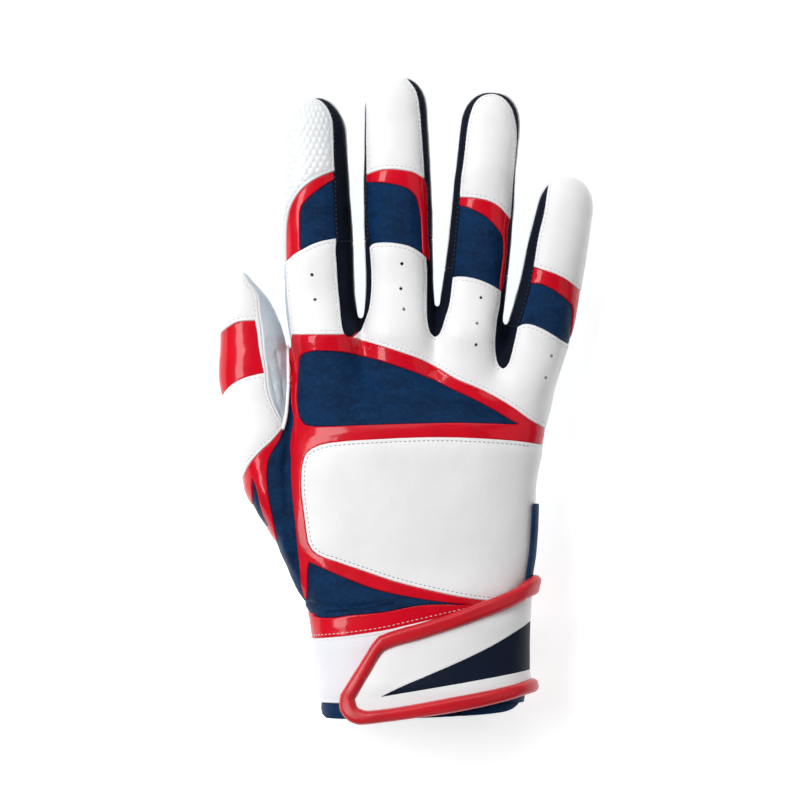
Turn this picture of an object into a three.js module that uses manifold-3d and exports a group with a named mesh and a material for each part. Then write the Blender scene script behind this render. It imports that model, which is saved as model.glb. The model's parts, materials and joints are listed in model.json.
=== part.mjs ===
// A batting glove for the right hand, lying on its palm with the back of the hand up.
// X runs across the hand from the thumb to the little finger, Y runs from the cuff to the
// fingertips and Z points up, away from the palm. All sizes are in millimetres.
//
// The glove is one hollow form, lofted from oval sections: the hand, four fingers and the thumb.
// Its wall is then divided into the pieces that are sewn together on the real glove, by the plan
// outlines of those pieces. The outlines were read from a photograph taken square to the back of
// the hand, so they are kept as pixels of that photograph, and two scales turn them into sizes.

import * as THREE from 'three';
import { mergeVertices } from 'three/addons/utils/BufferGeometryUtils.js';
import Module from 'manifold-3d';

const wasm = await Module();
wasm.setup();

// Overall sizes
const gloveLength = 222;
const gloveWidth = 128;

// Heights of the glove above the surface that it lies on
const cuffHeight = 35;
const wristHeight = 33;
const palmHeight = 31;
const knuckleHeight = 27.5;
const fingerRootHeight = 25;
const fingerHeight = 20;
const fingertipHeight = 17;
const thumbRootHeight = 24;
const thumbHeight = 20;

// Leather and seams
const wall = 1.8;
const seamGap = 0.3;
const restDepth = 0.6;
const sideSeamHeight = 9;
const outlineReach = 20;
const shortestEdge = 0.03;
const mergeDistance = 1e-5;

// Folds
const fingerPivotHeight = 6;
const knucklePivotHeight = 7.5;
const thumbPivotHeight = 6;
const fingerFoldDegrees = 75;
const knuckleFoldDegrees = 60;
const thumbFoldDegrees = 50;

// Wrist closure
const hookPadThickness = 1;
const strapThickness = 1.6;
const strapRimRise = 1.2;
const strapPivotHeight = 19;
const strapRootBottom = 5;
const sideTabThickness = 1.5;
const sideTabBottom = 9.5;
const sideTabTop = 22;

// The photograph's frame: the glove's box in it, and the scales from pixels to millimetres
const photoLeftPixel = 218;
const photoRightPixel = 592;
const photoTopPixel = 76;
const photoBottomPixel = 723;
const acrossScale = gloveWidth / (photoRightPixel - photoLeftPixel);
const alongScale = gloveLength / (photoBottomPixel - photoTopPixel);
const middlePixel = [(photoLeftPixel + photoRightPixel) / 2, (photoTopPixel + photoBottomPixel) / 2];

const place = ([x, y]) => new THREE.Vector2(
  (x - middlePixel[0]) * acrossScale,
  (middlePixel[1] - y) * alongScale,
);

// Solids
const solidOf = (geometry) => {
  const bare = geometry.clone();
  bare.deleteAttribute('normal');
  bare.deleteAttribute('uv');
  const merged = mergeVertices(bare, mergeDistance);
  return new wasm.Manifold(new wasm.Mesh({
    numProp: 3,
    vertProperties: new Float32Array(merged.attributes.position.array),
    triVerts: new Uint32Array(merged.index.array),
  }));
};

const geometryOf = (solid) => {
  const mesh = solid.getMesh();
  const geometry = new THREE.BufferGeometry();
  geometry.setAttribute('position', new THREE.BufferAttribute(mesh.vertProperties, 3));
  geometry.setIndex(new THREE.BufferAttribute(mesh.triVerts, 1));
  return geometry;
};

const join = (...solids) => solids.reduce((sum, next) => sum.add(next));
const cut = (solid, ...tools) => tools.reduce((rest, tool) => rest.subtract(tool), solid);

// A closed skin through sections that all have the same number of points
const loft = (sections) => {
  const sides = sections[0].length;
  const positions = sections.flat().flatMap((point) => [point.x, point.y, point.z]);
  const indices = [];
  for (let ring = 0; ring + 1 < sections.length; ring += 1) {
    for (let side = 0; side < sides; side += 1) {
      const here = ring * sides + side;
      const next = ring * sides + ((side + 1) % sides);
      indices.push(here, next + sides, next, here, here + sides, next + sides);
    }
  }
  const lastRing = (sections.length - 1) * sides;
  for (let side = 1; side + 1 < sides; side += 1) {
    indices.push(0, side, side + 1);
    indices.push(lastRing, lastRing + side + 1, lastRing + side);
  }
  const geometry = new THREE.BufferGeometry();
  geometry.setAttribute('position', new THREE.BufferAttribute(new Float32Array(positions), 3));
  geometry.setIndex(indices);
  return solidOf(geometry);
};

// An oval section that stands square on the direction in which its limb runs, flat below
const ovalSection = ({ centre, across, halfWidth, top, bottom, squareness, sides }) => {
  const halfHeight = (top - bottom + restDepth) / 2;
  const middle = top - halfHeight;
  const power = 2 / squareness;
  return Array.from({ length: sides }, (_, step) => {
    const angle = (2 * Math.PI * step) / sides;
    const sideways = Math.sign(Math.cos(angle)) * Math.abs(Math.cos(angle)) ** power * halfWidth;
    const upward = Math.sign(Math.sin(angle)) * Math.abs(Math.sin(angle)) ** power * halfHeight;
    return new THREE.Vector3(
      centre.x + across.x * sideways,
      centre.y + across.y * sideways,
      Math.max(bottom, middle + upward),
    );
  });
};

// Hand
const handSides = 24;
const handSquareness = 2.5;
const handStationPixels = [
  { y: 716, left: 321, right: 519, height: cuffHeight },
  { y: 690, left: 319, right: 520, height: cuffHeight },
  { y: 640, left: 313, right: 521, height: wristHeight },
  { y: 600, left: 303, right: 524, height: wristHeight },
  { y: 560, left: 291, right: 531, height: palmHeight },
  { y: 520, left: 282, right: 535, height: palmHeight },
  { y: 480, left: 281, right: 539, height: palmHeight },
  { y: 440, left: 287, right: 544, height: palmHeight },
  { y: 405, left: 290, right: 549, height: knuckleHeight },
  { y: 385, left: 292, right: 552, height: fingerRootHeight },
  { y: 372, left: 296, right: 552, height: fingerHeight },
];

const handSolid = (offset, cuffOverrun) => {
  const first = handStationPixels[0];
  const last = handStationPixels.at(-1);
  return loft(handStationPixels.map((station) => {
    const left = place([station.left, station.y]);
    const right = place([station.right, station.y]);
    const centre = left.clone().add(right).multiplyScalar(1 / 2);
    centre.y += station === last ? offset : 0;
    centre.y -= station === first ? cuffOverrun : 0;
    return ovalSection({
      centre,
      across: new THREE.Vector2(1, 0),
      halfWidth: left.distanceTo(right) / 2 + offset,
      top: station.height + offset,
      bottom: Math.max(0, -offset),
      squareness: handSquareness,
      sides: handSides,
    });
  }));
};

// Fingers and thumb: each is measured from its tip. Lean is how far its axis moves sideways for
// each pixel towards the root. A station gives a distance from the tip, a width and a height, and
// the thumb's stations also a shift, because it bends in towards the wrist.
const limbSides = 14;
const limbSquareness = 2.2;
const tipTurnDegrees = [0, 30, 56, 80];

const limbPixels = {
  index: {
    tip: [316, 96],
    lean: 0.038,
    tipLength: 40,
    stations: [
      { from: 330, width: 70, height: knuckleHeight, shift: 5 },
      { from: 262, width: 76, height: fingerRootHeight, shift: 4 },
      { from: 238, width: 73, height: fingerRootHeight, shift: 2 },
      { from: 205, width: 69, height: fingerHeight, shift: 0 },
      { from: 120, width: 67, height: fingerHeight, shift: 0 },
      { from: 40, width: 64, height: fingertipHeight, shift: 0 },
    ],
    hinge: 122,
    sideGap: 6,
    pivotHeight: fingerPivotHeight,
    foldDegrees: fingerFoldDegrees,
  },
  middle: {
    tip: [395, 76],
    lean: 0.02,
    tipLength: 38,
    stations: [
      { from: 345, width: 78, height: knuckleHeight, shift: 0 },
      { from: 280, width: 84, height: fingerRootHeight, shift: 0 },
      { from: 252, width: 76, height: fingerRootHeight, shift: 0 },
      { from: 215, width: 69, height: fingerHeight, shift: 0 },
      { from: 138, width: 67, height: fingerHeight, shift: 0 },
      { from: 38, width: 63, height: fingertipHeight, shift: 0 },
    ],
    hinge: 138,
    sideGap: 6,
    pivotHeight: fingerPivotHeight,
    foldDegrees: fingerFoldDegrees,
  },
  ring: {
    tip: [493, 91],
    lean: -0.1,
    tipLength: 38,
    stations: [
      { from: 335, width: 76, height: knuckleHeight, shift: 0 },
      { from: 275, width: 80, height: fingerRootHeight, shift: 0 },
      { from: 242, width: 71, height: fingerRootHeight, shift: 0 },
      { from: 205, width: 64, height: fingerHeight, shift: 0 },
      { from: 156, width: 63, height: fingerHeight, shift: 0 },
      { from: 38, width: 61, height: fingertipHeight, shift: 0 },
    ],
    hinge: 156,
    sideGap: 6,
    pivotHeight: fingerPivotHeight,
    foldDegrees: fingerFoldDegrees,
  },
  little: {
    tip: [571, 176],
    lean: -0.19,
    tipLength: 36,
    stations: [
      { from: 252, width: 58, height: fingerRootHeight, shift: -9 },
      { from: 205, width: 64, height: fingerRootHeight, shift: -7 },
      { from: 180, width: 65, height: fingerHeight, shift: -3 },
      { from: 134, width: 61, height: fingerHeight, shift: 0 },
      { from: 36, width: 55, height: fingertipHeight, shift: 0 },
    ],
    hinge: 134,
    sideGap: 6,
    pivotHeight: fingerPivotHeight,
    foldDegrees: fingerFoldDegrees,
  },
  thumb: {
    tip: [244, 271],
    lean: 0.08,
    tipLength: 48,
    stations: [
      { from: 325, width: 48, height: thumbRootHeight, shift: 46 },
      { from: 252, width: 56, height: thumbRootHeight, shift: 22 },
      { from: 208, width: 54, height: thumbRootHeight, shift: 9 },
      { from: 165, width: 58, height: thumbRootHeight, shift: -3 },
      { from: 105, width: 66, height: thumbHeight, shift: 0 },
      { from: 48, width: 58, height: fingertipHeight, shift: 0 },
    ],
    hinge: 80,
    sideGap: 3,
    pivotHeight: thumbPivotHeight,
    foldDegrees: thumbFoldDegrees,
  },
};
const fingerNames = ['index', 'middle', 'ring', 'little'];

// A point of a limb, from its place across the limb and its distance from the tip
const onLimb = (limb, across, from) => {
  const length = Math.hypot(limb.lean, 1);
  return [
    limb.tip[0] + (from * limb.lean + across) / length,
    limb.tip[1] + (from - across * limb.lean) / length,
  ];
};

const limbSolid = (limb, offset) => {
  const across = place(onLimb(limb, 1, 0)).sub(place(onLimb(limb, 0, 0))).normalize();
  const section = ({ from, width, height, shift }, turn, reach) => {
    const towardsTip = place(onLimb(limb, 0, 0)).sub(place(onLimb(limb, 0, 1))).normalize();
    const centre = place(onLimb(limb, shift, from)).addScaledVector(towardsTip, reach);
    const shrink = Math.cos(turn);
    const bottom = Math.max(0, -offset);
    const middle = (height + offset + bottom) / 2;
    const halfHeight = (height + offset - bottom) / 2;
    return ovalSection({
      centre,
      across,
      halfWidth: (width * acrossScale / 2 + offset) * shrink,
      top: middle + halfHeight * shrink,
      bottom: Math.max(bottom, middle - halfHeight * shrink - restDepth * shrink),
      squareness: limbSquareness,
      sides: limbSides,
    });
  };
  const body = limb.stations.slice(0, -1).map((station) => section(station, 0, 0));
  const end = limb.stations.at(-1);
  const tip = tipTurnDegrees.map((degrees) => {
    const turn = THREE.MathUtils.degToRad(degrees);
    const from = end.from - limb.tipLength * Math.sin(turn);
    return section({ ...end, from }, turn, offset * Math.sin(turn));
  });
  return loft([...body, ...tip]);
};

// Plan outlines: each stretch is a list of pixels, and a stretch of three or more is a smooth curve
const stepsPerSpan = 1.5;
const stretch = (pixels) => {
  const points = pixels.map(place);
  return points.length < 3
    ? points
    : new THREE.SplineCurve(points).getPoints(Math.round((points.length - 1) * stepsPerSpan));
};

const outline = (...stretches) => {
  const points = stretches.flatMap(stretch);
  const clean = points.filter((point, step) =>
    point.distanceTo(points[(step + 1) % points.length]) > shortestEdge);
  return THREE.ShapeUtils.isClockWise(clean) ? clean.reverse() : clean;
};

// The outline moved outwards by a distance, with its sharpest corners blunted
const sharpestMiter = 3;
const grown = (points, distance) => points.map((point, step) => {
  const before = points[(step + points.length - 1) % points.length];
  const after = points[(step + 1) % points.length];
  const normalIn = new THREE.Vector2(point.y - before.y, before.x - point.x).normalize();
  const normalOut = new THREE.Vector2(after.y - point.y, point.x - after.x).normalize();
  const bisector = normalIn.clone().add(normalOut).normalize();
  const miter = Math.min(sharpestMiter, 1 / Math.max(bisector.dot(normalIn), 1 / sharpestMiter));
  return point.clone().addScaledVector(bisector, distance * miter);
});

const column = (points, bottom, top) => {
  const geometry = new THREE.ExtrudeGeometry(new THREE.Shape(points), {
    depth: top - bottom,
    bevelEnabled: false,
  });
  geometry.translate(0, 0, bottom);
  return solidOf(geometry);
};

const lowest = -outlineReach;
const highest = cuffHeight + outlineReach;
const upperColumn = (points) => column(points, sideSeamHeight + seamGap / 2, highest);
const fullColumn = (points) => column(points, lowest, highest);

// The hollow form
const outerForm = join(handSolid(0, 0), ...Object.values(limbPixels).map((limb) => limbSolid(limb, 0)));
const hollow = join(
  handSolid(-wall, outlineReach),
  ...Object.values(limbPixels).map((limb) => limbSolid(limb, -wall)),
);
const shell = outerForm.subtract(hollow);

const frameRectangle = [[0, 0], [1, 0], [1, 1], [0, 1]].map(([x, y]) => new THREE.Vector2(
  (x * 2 - 1) * (gloveWidth / 2 + outlineReach),
  (y * 2 - 1) * (gloveLength / 2 + outlineReach),
));
const upperShell = shell.intersect(upperColumn(frameRectangle));
const lowerShell = shell.intersect(column(frameRectangle, lowest, sideSeamHeight - seamGap / 2));

// Hinges: an axis across the limb, with a slot above it and a notch below it that leaves the
// fold its full angle on the palm side
const hingeOf = (start, end, pivotHeight, foldDegrees) => {
  const from = place(start);
  const to = place(end);
  return { from, to, pivotHeight, foldDegrees };
};

const hingeCutter = ({ from, to, pivotHeight, foldDegrees }) => {
  const halfFold = THREE.MathUtils.degToRad(foldDegrees) / 2;
  const notch = (pivotHeight + restDepth) * Math.tan(halfFold) + seamGap / 2;
  const profile = new THREE.Shape([
    new THREE.Vector2(-seamGap / 2, highest),
    new THREE.Vector2(-seamGap / 2, pivotHeight),
    new THREE.Vector2(-notch, -restDepth),
    new THREE.Vector2(notch, -restDepth),
    new THREE.Vector2(seamGap / 2, pivotHeight),
    new THREE.Vector2(seamGap / 2, highest),
  ]);
  const length = from.distanceTo(to);
  const geometry = new THREE.ExtrudeGeometry(profile, { depth: length, bevelEnabled: false });
  const axis = to.clone().sub(from).normalize();
  const ahead = new THREE.Vector3(-axis.y, axis.x, 0);
  const up = new THREE.Vector3(0, 0, 1);
  const along = new THREE.Vector3(axis.x, axis.y, 0);
  geometry.applyMatrix4(new THREE.Matrix4().makeBasis(ahead, up, along));
  geometry.translate(from.x, from.y, 0);
  return solidOf(geometry);
};

const limbReach = (limb) => limb.stations.at(-2).width / 2 + limb.sideGap;
const limbHinge = (limb) => {
  const halfWidth = limbReach(limb);
  return hingeOf(
    onLimb(limb, -halfWidth, limb.hinge),
    onLimb(limb, halfWidth, limb.hinge),
    limb.pivotHeight,
    limb.foldDegrees,
  );
};
const knuckleAxisPixels = [[288.8, 385], [575, 441]];
const knuckleHinge = hingeOf(...knuckleAxisPixels, knucklePivotHeight, knuckleFoldDegrees);
const limbCutters = Object.fromEntries(
  Object.entries(limbPixels).map(([name, limb]) => [name, hingeCutter(limbHinge(limb))]),
);
const knuckleCutter = hingeCutter(knuckleHinge);

// Regions of the plan that move together
const beyondTipPixels = -40;
const limbCorridor = (limb) => {
  const halfWidth = limbReach(limb);
  return outline(
    [onLimb(limb, -halfWidth, beyondTipPixels), onLimb(limb, halfWidth, beyondTipPixels)],
    [onLimb(limb, halfWidth, limb.hinge), onLimb(limb, -halfWidth, limb.hinge)],
  );
};
const fingerTipRegions = fingerNames.map((name) => fullColumn(limbCorridor(limbPixels[name])));
const thumbTipRegion = fullColumn(limbCorridor(limbPixels.thumb));
const aheadOfKnucklePixels = [
  knuckleAxisPixels,
  [[640, 452], [640, 20]],
  [[276, 20], [276, 250]],
  [[279, 290], [287.6, 345]],
];
const aheadOfKnuckles = fullColumn(outline(...aheadOfKnucklePixels));

// Outlines on the back of the hand
const backPanelPixels = [
  [[311, 450], [338, 443], [369, 440], [440, 437], [507, 440], [545, 445], [580, 449]],
  [[580, 608], [530, 606]],
  [[500, 602], [455, 595], [400, 582], [363, 570], [336, 560], [317, 552], [309, 540]],
  [[304, 510], [303, 470], [304, 457], [311, 450]],
];
const knucklePanelPixels = [
  [[300, 354], [318, 351], [345, 352.5], [373, 359], [409, 370], [434, 379.5]],
  [[452, 389], [474, 399], [493, 409], [509, 418.5], [520, 424.5]],
  [[520, 424.5], [460, 422.5], [390, 424], [310, 427]],
  [[302, 425], [297, 415], [295.5, 385], [296, 360], [300, 354]],
];
const lowerPanelPixels = [
  [[307.5, 563], [327, 569.5], [351, 579.5], [380, 589.5], [425, 598.5], [470, 604]],
  [[470, 604], [425, 603.5], [385, 611], [350, 614.5], [311, 616.5]],
];
const hemPixels = [
  [[290, 618], [311, 617], [350, 615], [385, 611.5], [425, 604], [470, 604]],
  [[640, 601], [640, 628]],
  [[430, 628], [409, 629], [376, 631], [313, 637], [290, 638]],
];
const backFramePixels = [
  [[287.5, 349], [300, 349]],
  [[300, 400], [490, 416]],
  [[521, 425.5], [545, 434]],
  [[640, 452], [640, 620]],
  [[306, 617], [301.5, 590], [297.5, 560], [294.5, 525], [291.5, 490], [290.5, 440], [289.5, 404]],
];
const knuckleBandPixels = [
  [[284, 333], [335, 334]],
  [[342, 338.5], [350, 339.5], [358, 336], [400, 346], [450, 364], [500, 391], [545, 415]],
  [[640, 415], [640, 452]],
  [[545, 434], [521, 425.5]],
  [[490, 416], [300, 400]],
  [[300, 349], [284, 349]],
];
const sidePanelPixels = [
  [[289.6, 412], [284, 420], [274, 445], [267.5, 470], [267.5, 500], [271.5, 528], [272, 545]],
  [[200, 552], [200, 590]],
  [[298, 590], [310, 575]],
];
const thumbGussetPixels = [
  [[271.5, 444], [258, 455], [238, 468], [180, 476]],
  [[180, 560], [275, 560]],
];
const cuffPanelPixels = [[[290, 620], [456, 620]], [[456, 701], [290, 701]]];
const cuffSidePixels = [[[462, 620], [640, 620]], [[640, 701], [462, 701]]];
const cuffBindingPixels = [[[290, 702], [640, 702]], [[640, 780], [290, 780]]];
const cuffSlitPixels = [[[456, 690], [462, 690]], [[462, 780], [456, 780]]];
const loopPatchPixels = [[[385, 652], [440, 640]], [[440, 692], [364, 697]]];
const hookPadPixels = [[[388, 655], [437, 643]], [[437, 689], [370, 694]]];
const strapOuterPixels = [
  [[378, 633], [409, 618], [468, 598], [536, 574], [640, 537]],
  [[640, 672], [535, 692], [441, 709.5], [371, 722]],
  [[371, 722], [357, 722.5], [346, 716], [339.5, 704], [341, 690]],
  [[341, 690], [361, 658.5], [369, 642], [378, 633]],
];
const strapInnerPixels = [
  [[388, 648], [404, 637], [468, 611.5], [533, 588], [640, 549]],
  [[640, 661], [533, 682], [441, 699], [367, 711]],
  [[367, 711], [358, 708], [355, 699]],
  [[355, 699], [371, 672], [388, 648]],
];
const strapInlayPixels = [
  [[381, 696], [470, 655], [533, 617.5], [640, 554]],
  [[640, 650], [533, 669], [381, 696]],
];
const strapRootPixels = [[[495, 579], [640, 579]], [[640, 690], [495, 690]]];
const sideTabPixels = [[[505, 502], [640, 502]], [[640, 571], [505, 571]]];

// Outlines of the fingers, each on its own axis
const fingerOutlinePixels = {
  index: {
    cap: [
      [[-45, -25], [2, -25]],
      [[2, 1], [10, 12], [15, 28]],
      [[15, 77], [-4, 84], [-18, 93], [-27, 104], [-32, 116], [-35, 130]],
      [[-45, 130]],
    ],
    trimInner: [[15, 85], [-3, 93], [-14, 103], [-20, 114], [-23, 130], [-24, 157]],
    rear: [[15, 143], [-4, 148], [-21, 155], [-45, 170]],
    sides: [-45, 15],
  },
  middle: {
    cap: [
      [[-2, 4], [-16, 9], [-25, 21], [-28, 38]],
      [[-28, 96], [0, 94.5], [27, 102]],
      [[27, 50], [21, 26], [11, 8], [-2, 4]],
    ],
    trimInner: [[-28, 107], [-11, 108.5], [9, 115], [18.5, 126], [23, 145], [24.5, 181]],
    rear: [[27, 182], [6, 170], [-12, 167.5], [-28, 169]],
    sides: [-28, 27],
  },
  ring: {
    cap: [
      [[0, 4], [-9, 9], [-17, 23], [-20, 42]],
      [[-20, 108.5], [0, 108], [12, 112], [26, 122]],
      [[26, 46], [24, 29], [18, 15], [9, 6], [0, 4]],
    ],
    trimInner: [[-20, 118], [-1, 122.5], [13, 129], [20, 139], [23, 158], [23.5, 198]],
    rear: [[26, 200], [11, 191], [-5, 188], [-20, 189]],
    sides: [-20, 25.5],
  },
  little: {
    cap: [
      [[45, -25], [-3, -25]],
      [[-3, 1], [-13, 11], [-18, 31]],
      [[-18, 96], [0, 95], [14, 99], [32, 110], [45, 118]],
    ],
    trimInner: [[-18, 113], [0, 114.5], [17, 121.5], [24, 131], [25.5, 160]],
    rear: [[45, 170], [32, 164.5], [10, 156.5], [-8, 154.5], [-18, 155.5]],
    sides: [-18, 45],
  },
};
const thumbOutlinePixels = {
  bandFront: [[-70, 68], [-27, 55], [-12, 50.5], [9, 49.5]],
  bandRear: [[9, 104], [-13, 109.5], [-35, 120], [-70, 141]],
  dorsalEdge: [[9, 90], [9, 110], [10.5, 130], [14, 150], [16, 166]],
};
const fingerPanelFrontPixels = 60;
const trimInnerReachPixels = 240;

// Pieces of the wall
const colours = {
  white: 0xe9e9ea,
  insideWhite: 0xd4d6d9,
  navy: 0x16294a,
  darkNavy: 0x101c33,
  red: 0xc4122c,
};
const material = (colour, roughness) => new THREE.MeshStandardMaterial({
  color: colour,
  roughness,
  metalness: 0,
});
const materials = {
  leather: material(colours.white, 0.55),
  palmLeather: material(colours.insideWhite, 0.7),
  knit: material(colours.navy, 0.85),
  gusset: material(colours.darkNavy, 0.9),
  gloss: material(colours.red, 0.2),
  rubber: material(colours.red, 0.4),
};

const glove = new THREE.Group();
const addPiece = (name, solid, look) => {
  const mesh = new THREE.Mesh(geometryOf(solid), look);
  mesh.name = name;
  glove.add(mesh);
};

const tidy = (pixels) => outline(...pixels);
const region = (pixels) => fullColumn(tidy(pixels));
const onBack = (pixels) => upperShell.intersect(region(pixels));
const around = (...outlines) => outlines.map((pixels) => fullColumn(grown(tidy(pixels), seamGap)));
const onFinger = (limb, points) => points.map(([across, from]) => onLimb(limb, across, from));

// Fingertips, each with its glossy trim and the stretch band that spans the middle joint
const fingerPanels = Object.fromEntries(fingerNames.map((name) => {
  const limb = limbPixels[name];
  const { cap, trimInner, rear, sides } = fingerOutlinePixels[name];
  const all = [
    onFinger(limb, [[sides[0], fingerPanelFrontPixels], [sides[1], fingerPanelFrontPixels]]),
    onFinger(limb, rear),
  ];
  const inner = [
    onFinger(limb, trimInner),
    onFinger(limb, [[trimInner.at(-1)[0], trimInnerReachPixels], [trimInner[0][0], trimInnerReachPixels]]),
  ];
  return [name, { all, inner, cap: cap.map((points) => onFinger(limb, points)) }];
}));

fingerNames.forEach((name, step) => {
  const { all, inner, cap } = fingerPanels[name];
  const fold = limbCutters[name];
  const tipRegion = fingerTipRegions[step];
  const upperTip = upperShell.intersect(tipRegion);
  const lowerTip = lowerShell.intersect(tipRegion);
  const capSolid = onBack(cap).intersect(join(region(all), tipRegion));
  addPiece(`${name}_tip_cap`, capSolid, materials.leather);
  addPiece(`${name}_trim`, cut(onBack(all), ...around(cap, inner)), materials.gloss);
  addPiece(`${name}_flex_band`, onBack(all).intersect(region(inner)), materials.knit);
  addPiece(`${name}_tip_gusset`, cut(upperTip, fold, ...around(cap, all)), materials.gusset);
  addPiece(`${name}_tip_palm`, cut(lowerTip, fold), materials.palmLeather);
});

// Knuckles: the pieces that all four fingers carry when the hand closes
const { index, middle, ring, little, thumb } = limbPixels;
const indexBasePixels = [
  onFinger(index, [[-45, 130], [15, 130]]),
  [...onFinger(index, [[15, 150], [15.5, 185]]), [340.5, 310], [341, 326], [341.5, 337.5]],
  [[284, 337.5], [278, 290]],
];
const knuckleCoverPixels = [
  onFinger(middle, [[-28, 150], [27, 150]]),
  [...onFinger(middle, [[27, 185], [28, 225]]), [429, 318], [436, 335]],
  [[436, 335], [444, 328], [449, 306], ...onFinger(ring, [[-20, 192]])],
  onFinger(ring, [[-20, 170], [26, 170]]),
  [...onFinger(ring, [[26, 204]]), [496, 328], [496, 352], [503, 369]],
  [[503, 369], [511, 361], [518, 340], ...onFinger(little, [[-18, 160]])],
  onFinger(little, [[-18, 140], [45, 140]]),
  [[640, 345], [640, 444]],
  [[550, 431], [530, 419.5], [516, 409.5], [501, 400], [481, 389.5], [457, 379.5], [441, 370]],
  [[441, 370], [422, 360], [393, 350], [365, 341.5], [352, 339.5]],
  [[352, 339.5], [362, 330], [367, 318], [370.5, 300], ...onFinger(middle, [[-28, 190]])],
];
const fingerAlls = fingerNames.map((name) => fingerPanels[name].all);
const block = cut(aheadOfKnuckles, ...fingerTipRegions);
const upperBlock = cut(upperShell.intersect(aheadOfKnuckles), ...around(...fingerAlls));
addPiece('index_base_panel', upperBlock.intersect(region(indexBasePixels)), materials.leather);
addPiece('knuckle_cover', upperBlock.intersect(region(knuckleCoverPixels)), materials.leather);
addPiece(
  'knuckle_band',
  cut(
    onBack(knuckleBandPixels),
    ...around(indexBasePixels, knuckleCoverPixels, knucklePanelPixels, backFramePixels),
  ),
  materials.gloss,
);
const crotchPixels = {
  index_middle_gusset: [[[330, 190], [385, 190]], [[385, 350], [330, 350]]],
  middle_ring_gusset: [[[415, 190], [470, 190]], [[460, 350], [415, 350]]],
  ring_little_gusset: [[[490, 230], [540, 270]], [[530, 385], [480, 385]]],
};
const gussetTools = [
  ...around(indexBasePixels, knuckleCoverPixels, knuckleBandPixels),
  ...fingerNames.map((name) => limbCutters[name]),
  ...fingerTipRegions,
];
Object.entries(crotchPixels).forEach(([name, pixels]) => {
  addPiece(name, cut(upperBlock.intersect(region(pixels)), ...gussetTools), materials.gusset);
});
addPiece(
  'palm_front',
  cut(lowerShell.intersect(block), knuckleCutter, ...fingerNames.map((name) => limbCutters[name])),
  materials.palmLeather,
);

// Back of the hand
addPiece('back_panel', onBack(backPanelPixels), materials.leather);
addPiece('knuckle_panel', onBack(knucklePanelPixels), materials.knit);
addPiece('lower_back_panel', cut(onBack(lowerPanelPixels), ...around(backPanelPixels)), materials.knit);
addPiece('hem_band', cut(onBack(hemPixels), ...around(lowerPanelPixels, backPanelPixels)), materials.gloss);
addPiece(
  'back_frame',
  cut(
    onBack(backFramePixels),
    ...around(backPanelPixels, knucklePanelPixels, lowerPanelPixels, hemPixels),
  ),
  materials.gloss,
);
addPiece(
  'side_panel',
  cut(onBack(sidePanelPixels), ...around(backFramePixels, hemPixels)),
  materials.knit,
);

// Thumb
const dorsalEdge = onFinger(thumb, thumbOutlinePixels.dorsalEdge);
const thumbBandPixels = [
  onFinger(thumb, thumbOutlinePixels.bandFront),
  onFinger(thumb, thumbOutlinePixels.bandRear),
];
const thumbTipPixels = [
  onFinger(thumb, [[-70, -40], [9, -40]]),
  onFinger(thumb, [[9, 60], [-70, 90]]),
];
const thumbBasePixels = [
  onFinger(thumb, [[-70, 90], [9, 90]]),
  dorsalEdge,
  [[272, 441], [258, 455], [238, 468], [180, 476]],
];
const thumbInnerPixels = [
  [...onFinger(thumb, [[9, 70]]), [287.5, 335]],
  [[287.5, 412], [284, 421], [273, 440]],
  [...dorsalEdge].reverse(),
];
const thumbDorsal = [thumbTipPixels, thumbBandPixels, thumbBasePixels];
addPiece(
  'thumb_tip_cap',
  cut(onBack(thumbTipPixels).intersect(thumbTipRegion), ...around(thumbBandPixels)),
  materials.leather,
);
addPiece('thumb_band', onBack(thumbBandPixels), materials.gloss);
addPiece(
  'thumb_base_panel',
  cut(onBack(thumbBasePixels), ...around(thumbBandPixels, sidePanelPixels)),
  materials.leather,
);
addPiece(
  'thumb_gusset',
  cut(onBack(thumbGussetPixels), ...around(thumbBasePixels, sidePanelPixels)),
  materials.gloss,
);
addPiece(
  'thumb_inner_panel',
  cut(
    onBack(thumbInnerPixels),
    limbCutters.thumb,
    thumbTipRegion,
    ...around(...thumbDorsal, sidePanelPixels, thumbGussetPixels),
  ),
  materials.palmLeather,
);
const dorsalColumn = (pixels) =>
  column(grown(tidy(pixels), seamGap), sideSeamHeight - seamGap / 2, highest);
addPiece(
  'thumb_tip_palm',
  cut(shell.intersect(thumbTipRegion), limbCutters.thumb, ...thumbDorsal.map(dorsalColumn)),
  materials.palmLeather,
);

// Palm and cuff
addPiece(
  'palm_heel',
  cut(
    lowerShell,
    aheadOfKnuckles,
    knuckleCutter,
    limbCutters.thumb,
    thumbTipRegion,
    ...around(cuffBindingPixels),
  ),
  materials.palmLeather,
);
const cuffNeighbours = around(hemPixels, sidePanelPixels, cuffBindingPixels);
const onCuff = (pixels) => cut(onBack(pixels), ...cuffNeighbours);
addPiece('cuff_back_panel', cut(onCuff(cuffPanelPixels), ...around(loopPatchPixels)), materials.leather);
addPiece('cuff_side_panel', onCuff(cuffSidePixels), materials.knit);
addPiece('loop_patch', onBack(loopPatchPixels), materials.gusset);
const cuffSlit = column(tidy(cuffSlitPixels), sideSeamHeight, highest);
const cuffBinding = cut(shell.intersect(region(cuffBindingPixels)), cuffSlit);
addPiece('cuff_binding', cuffBinding, materials.knit);

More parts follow.
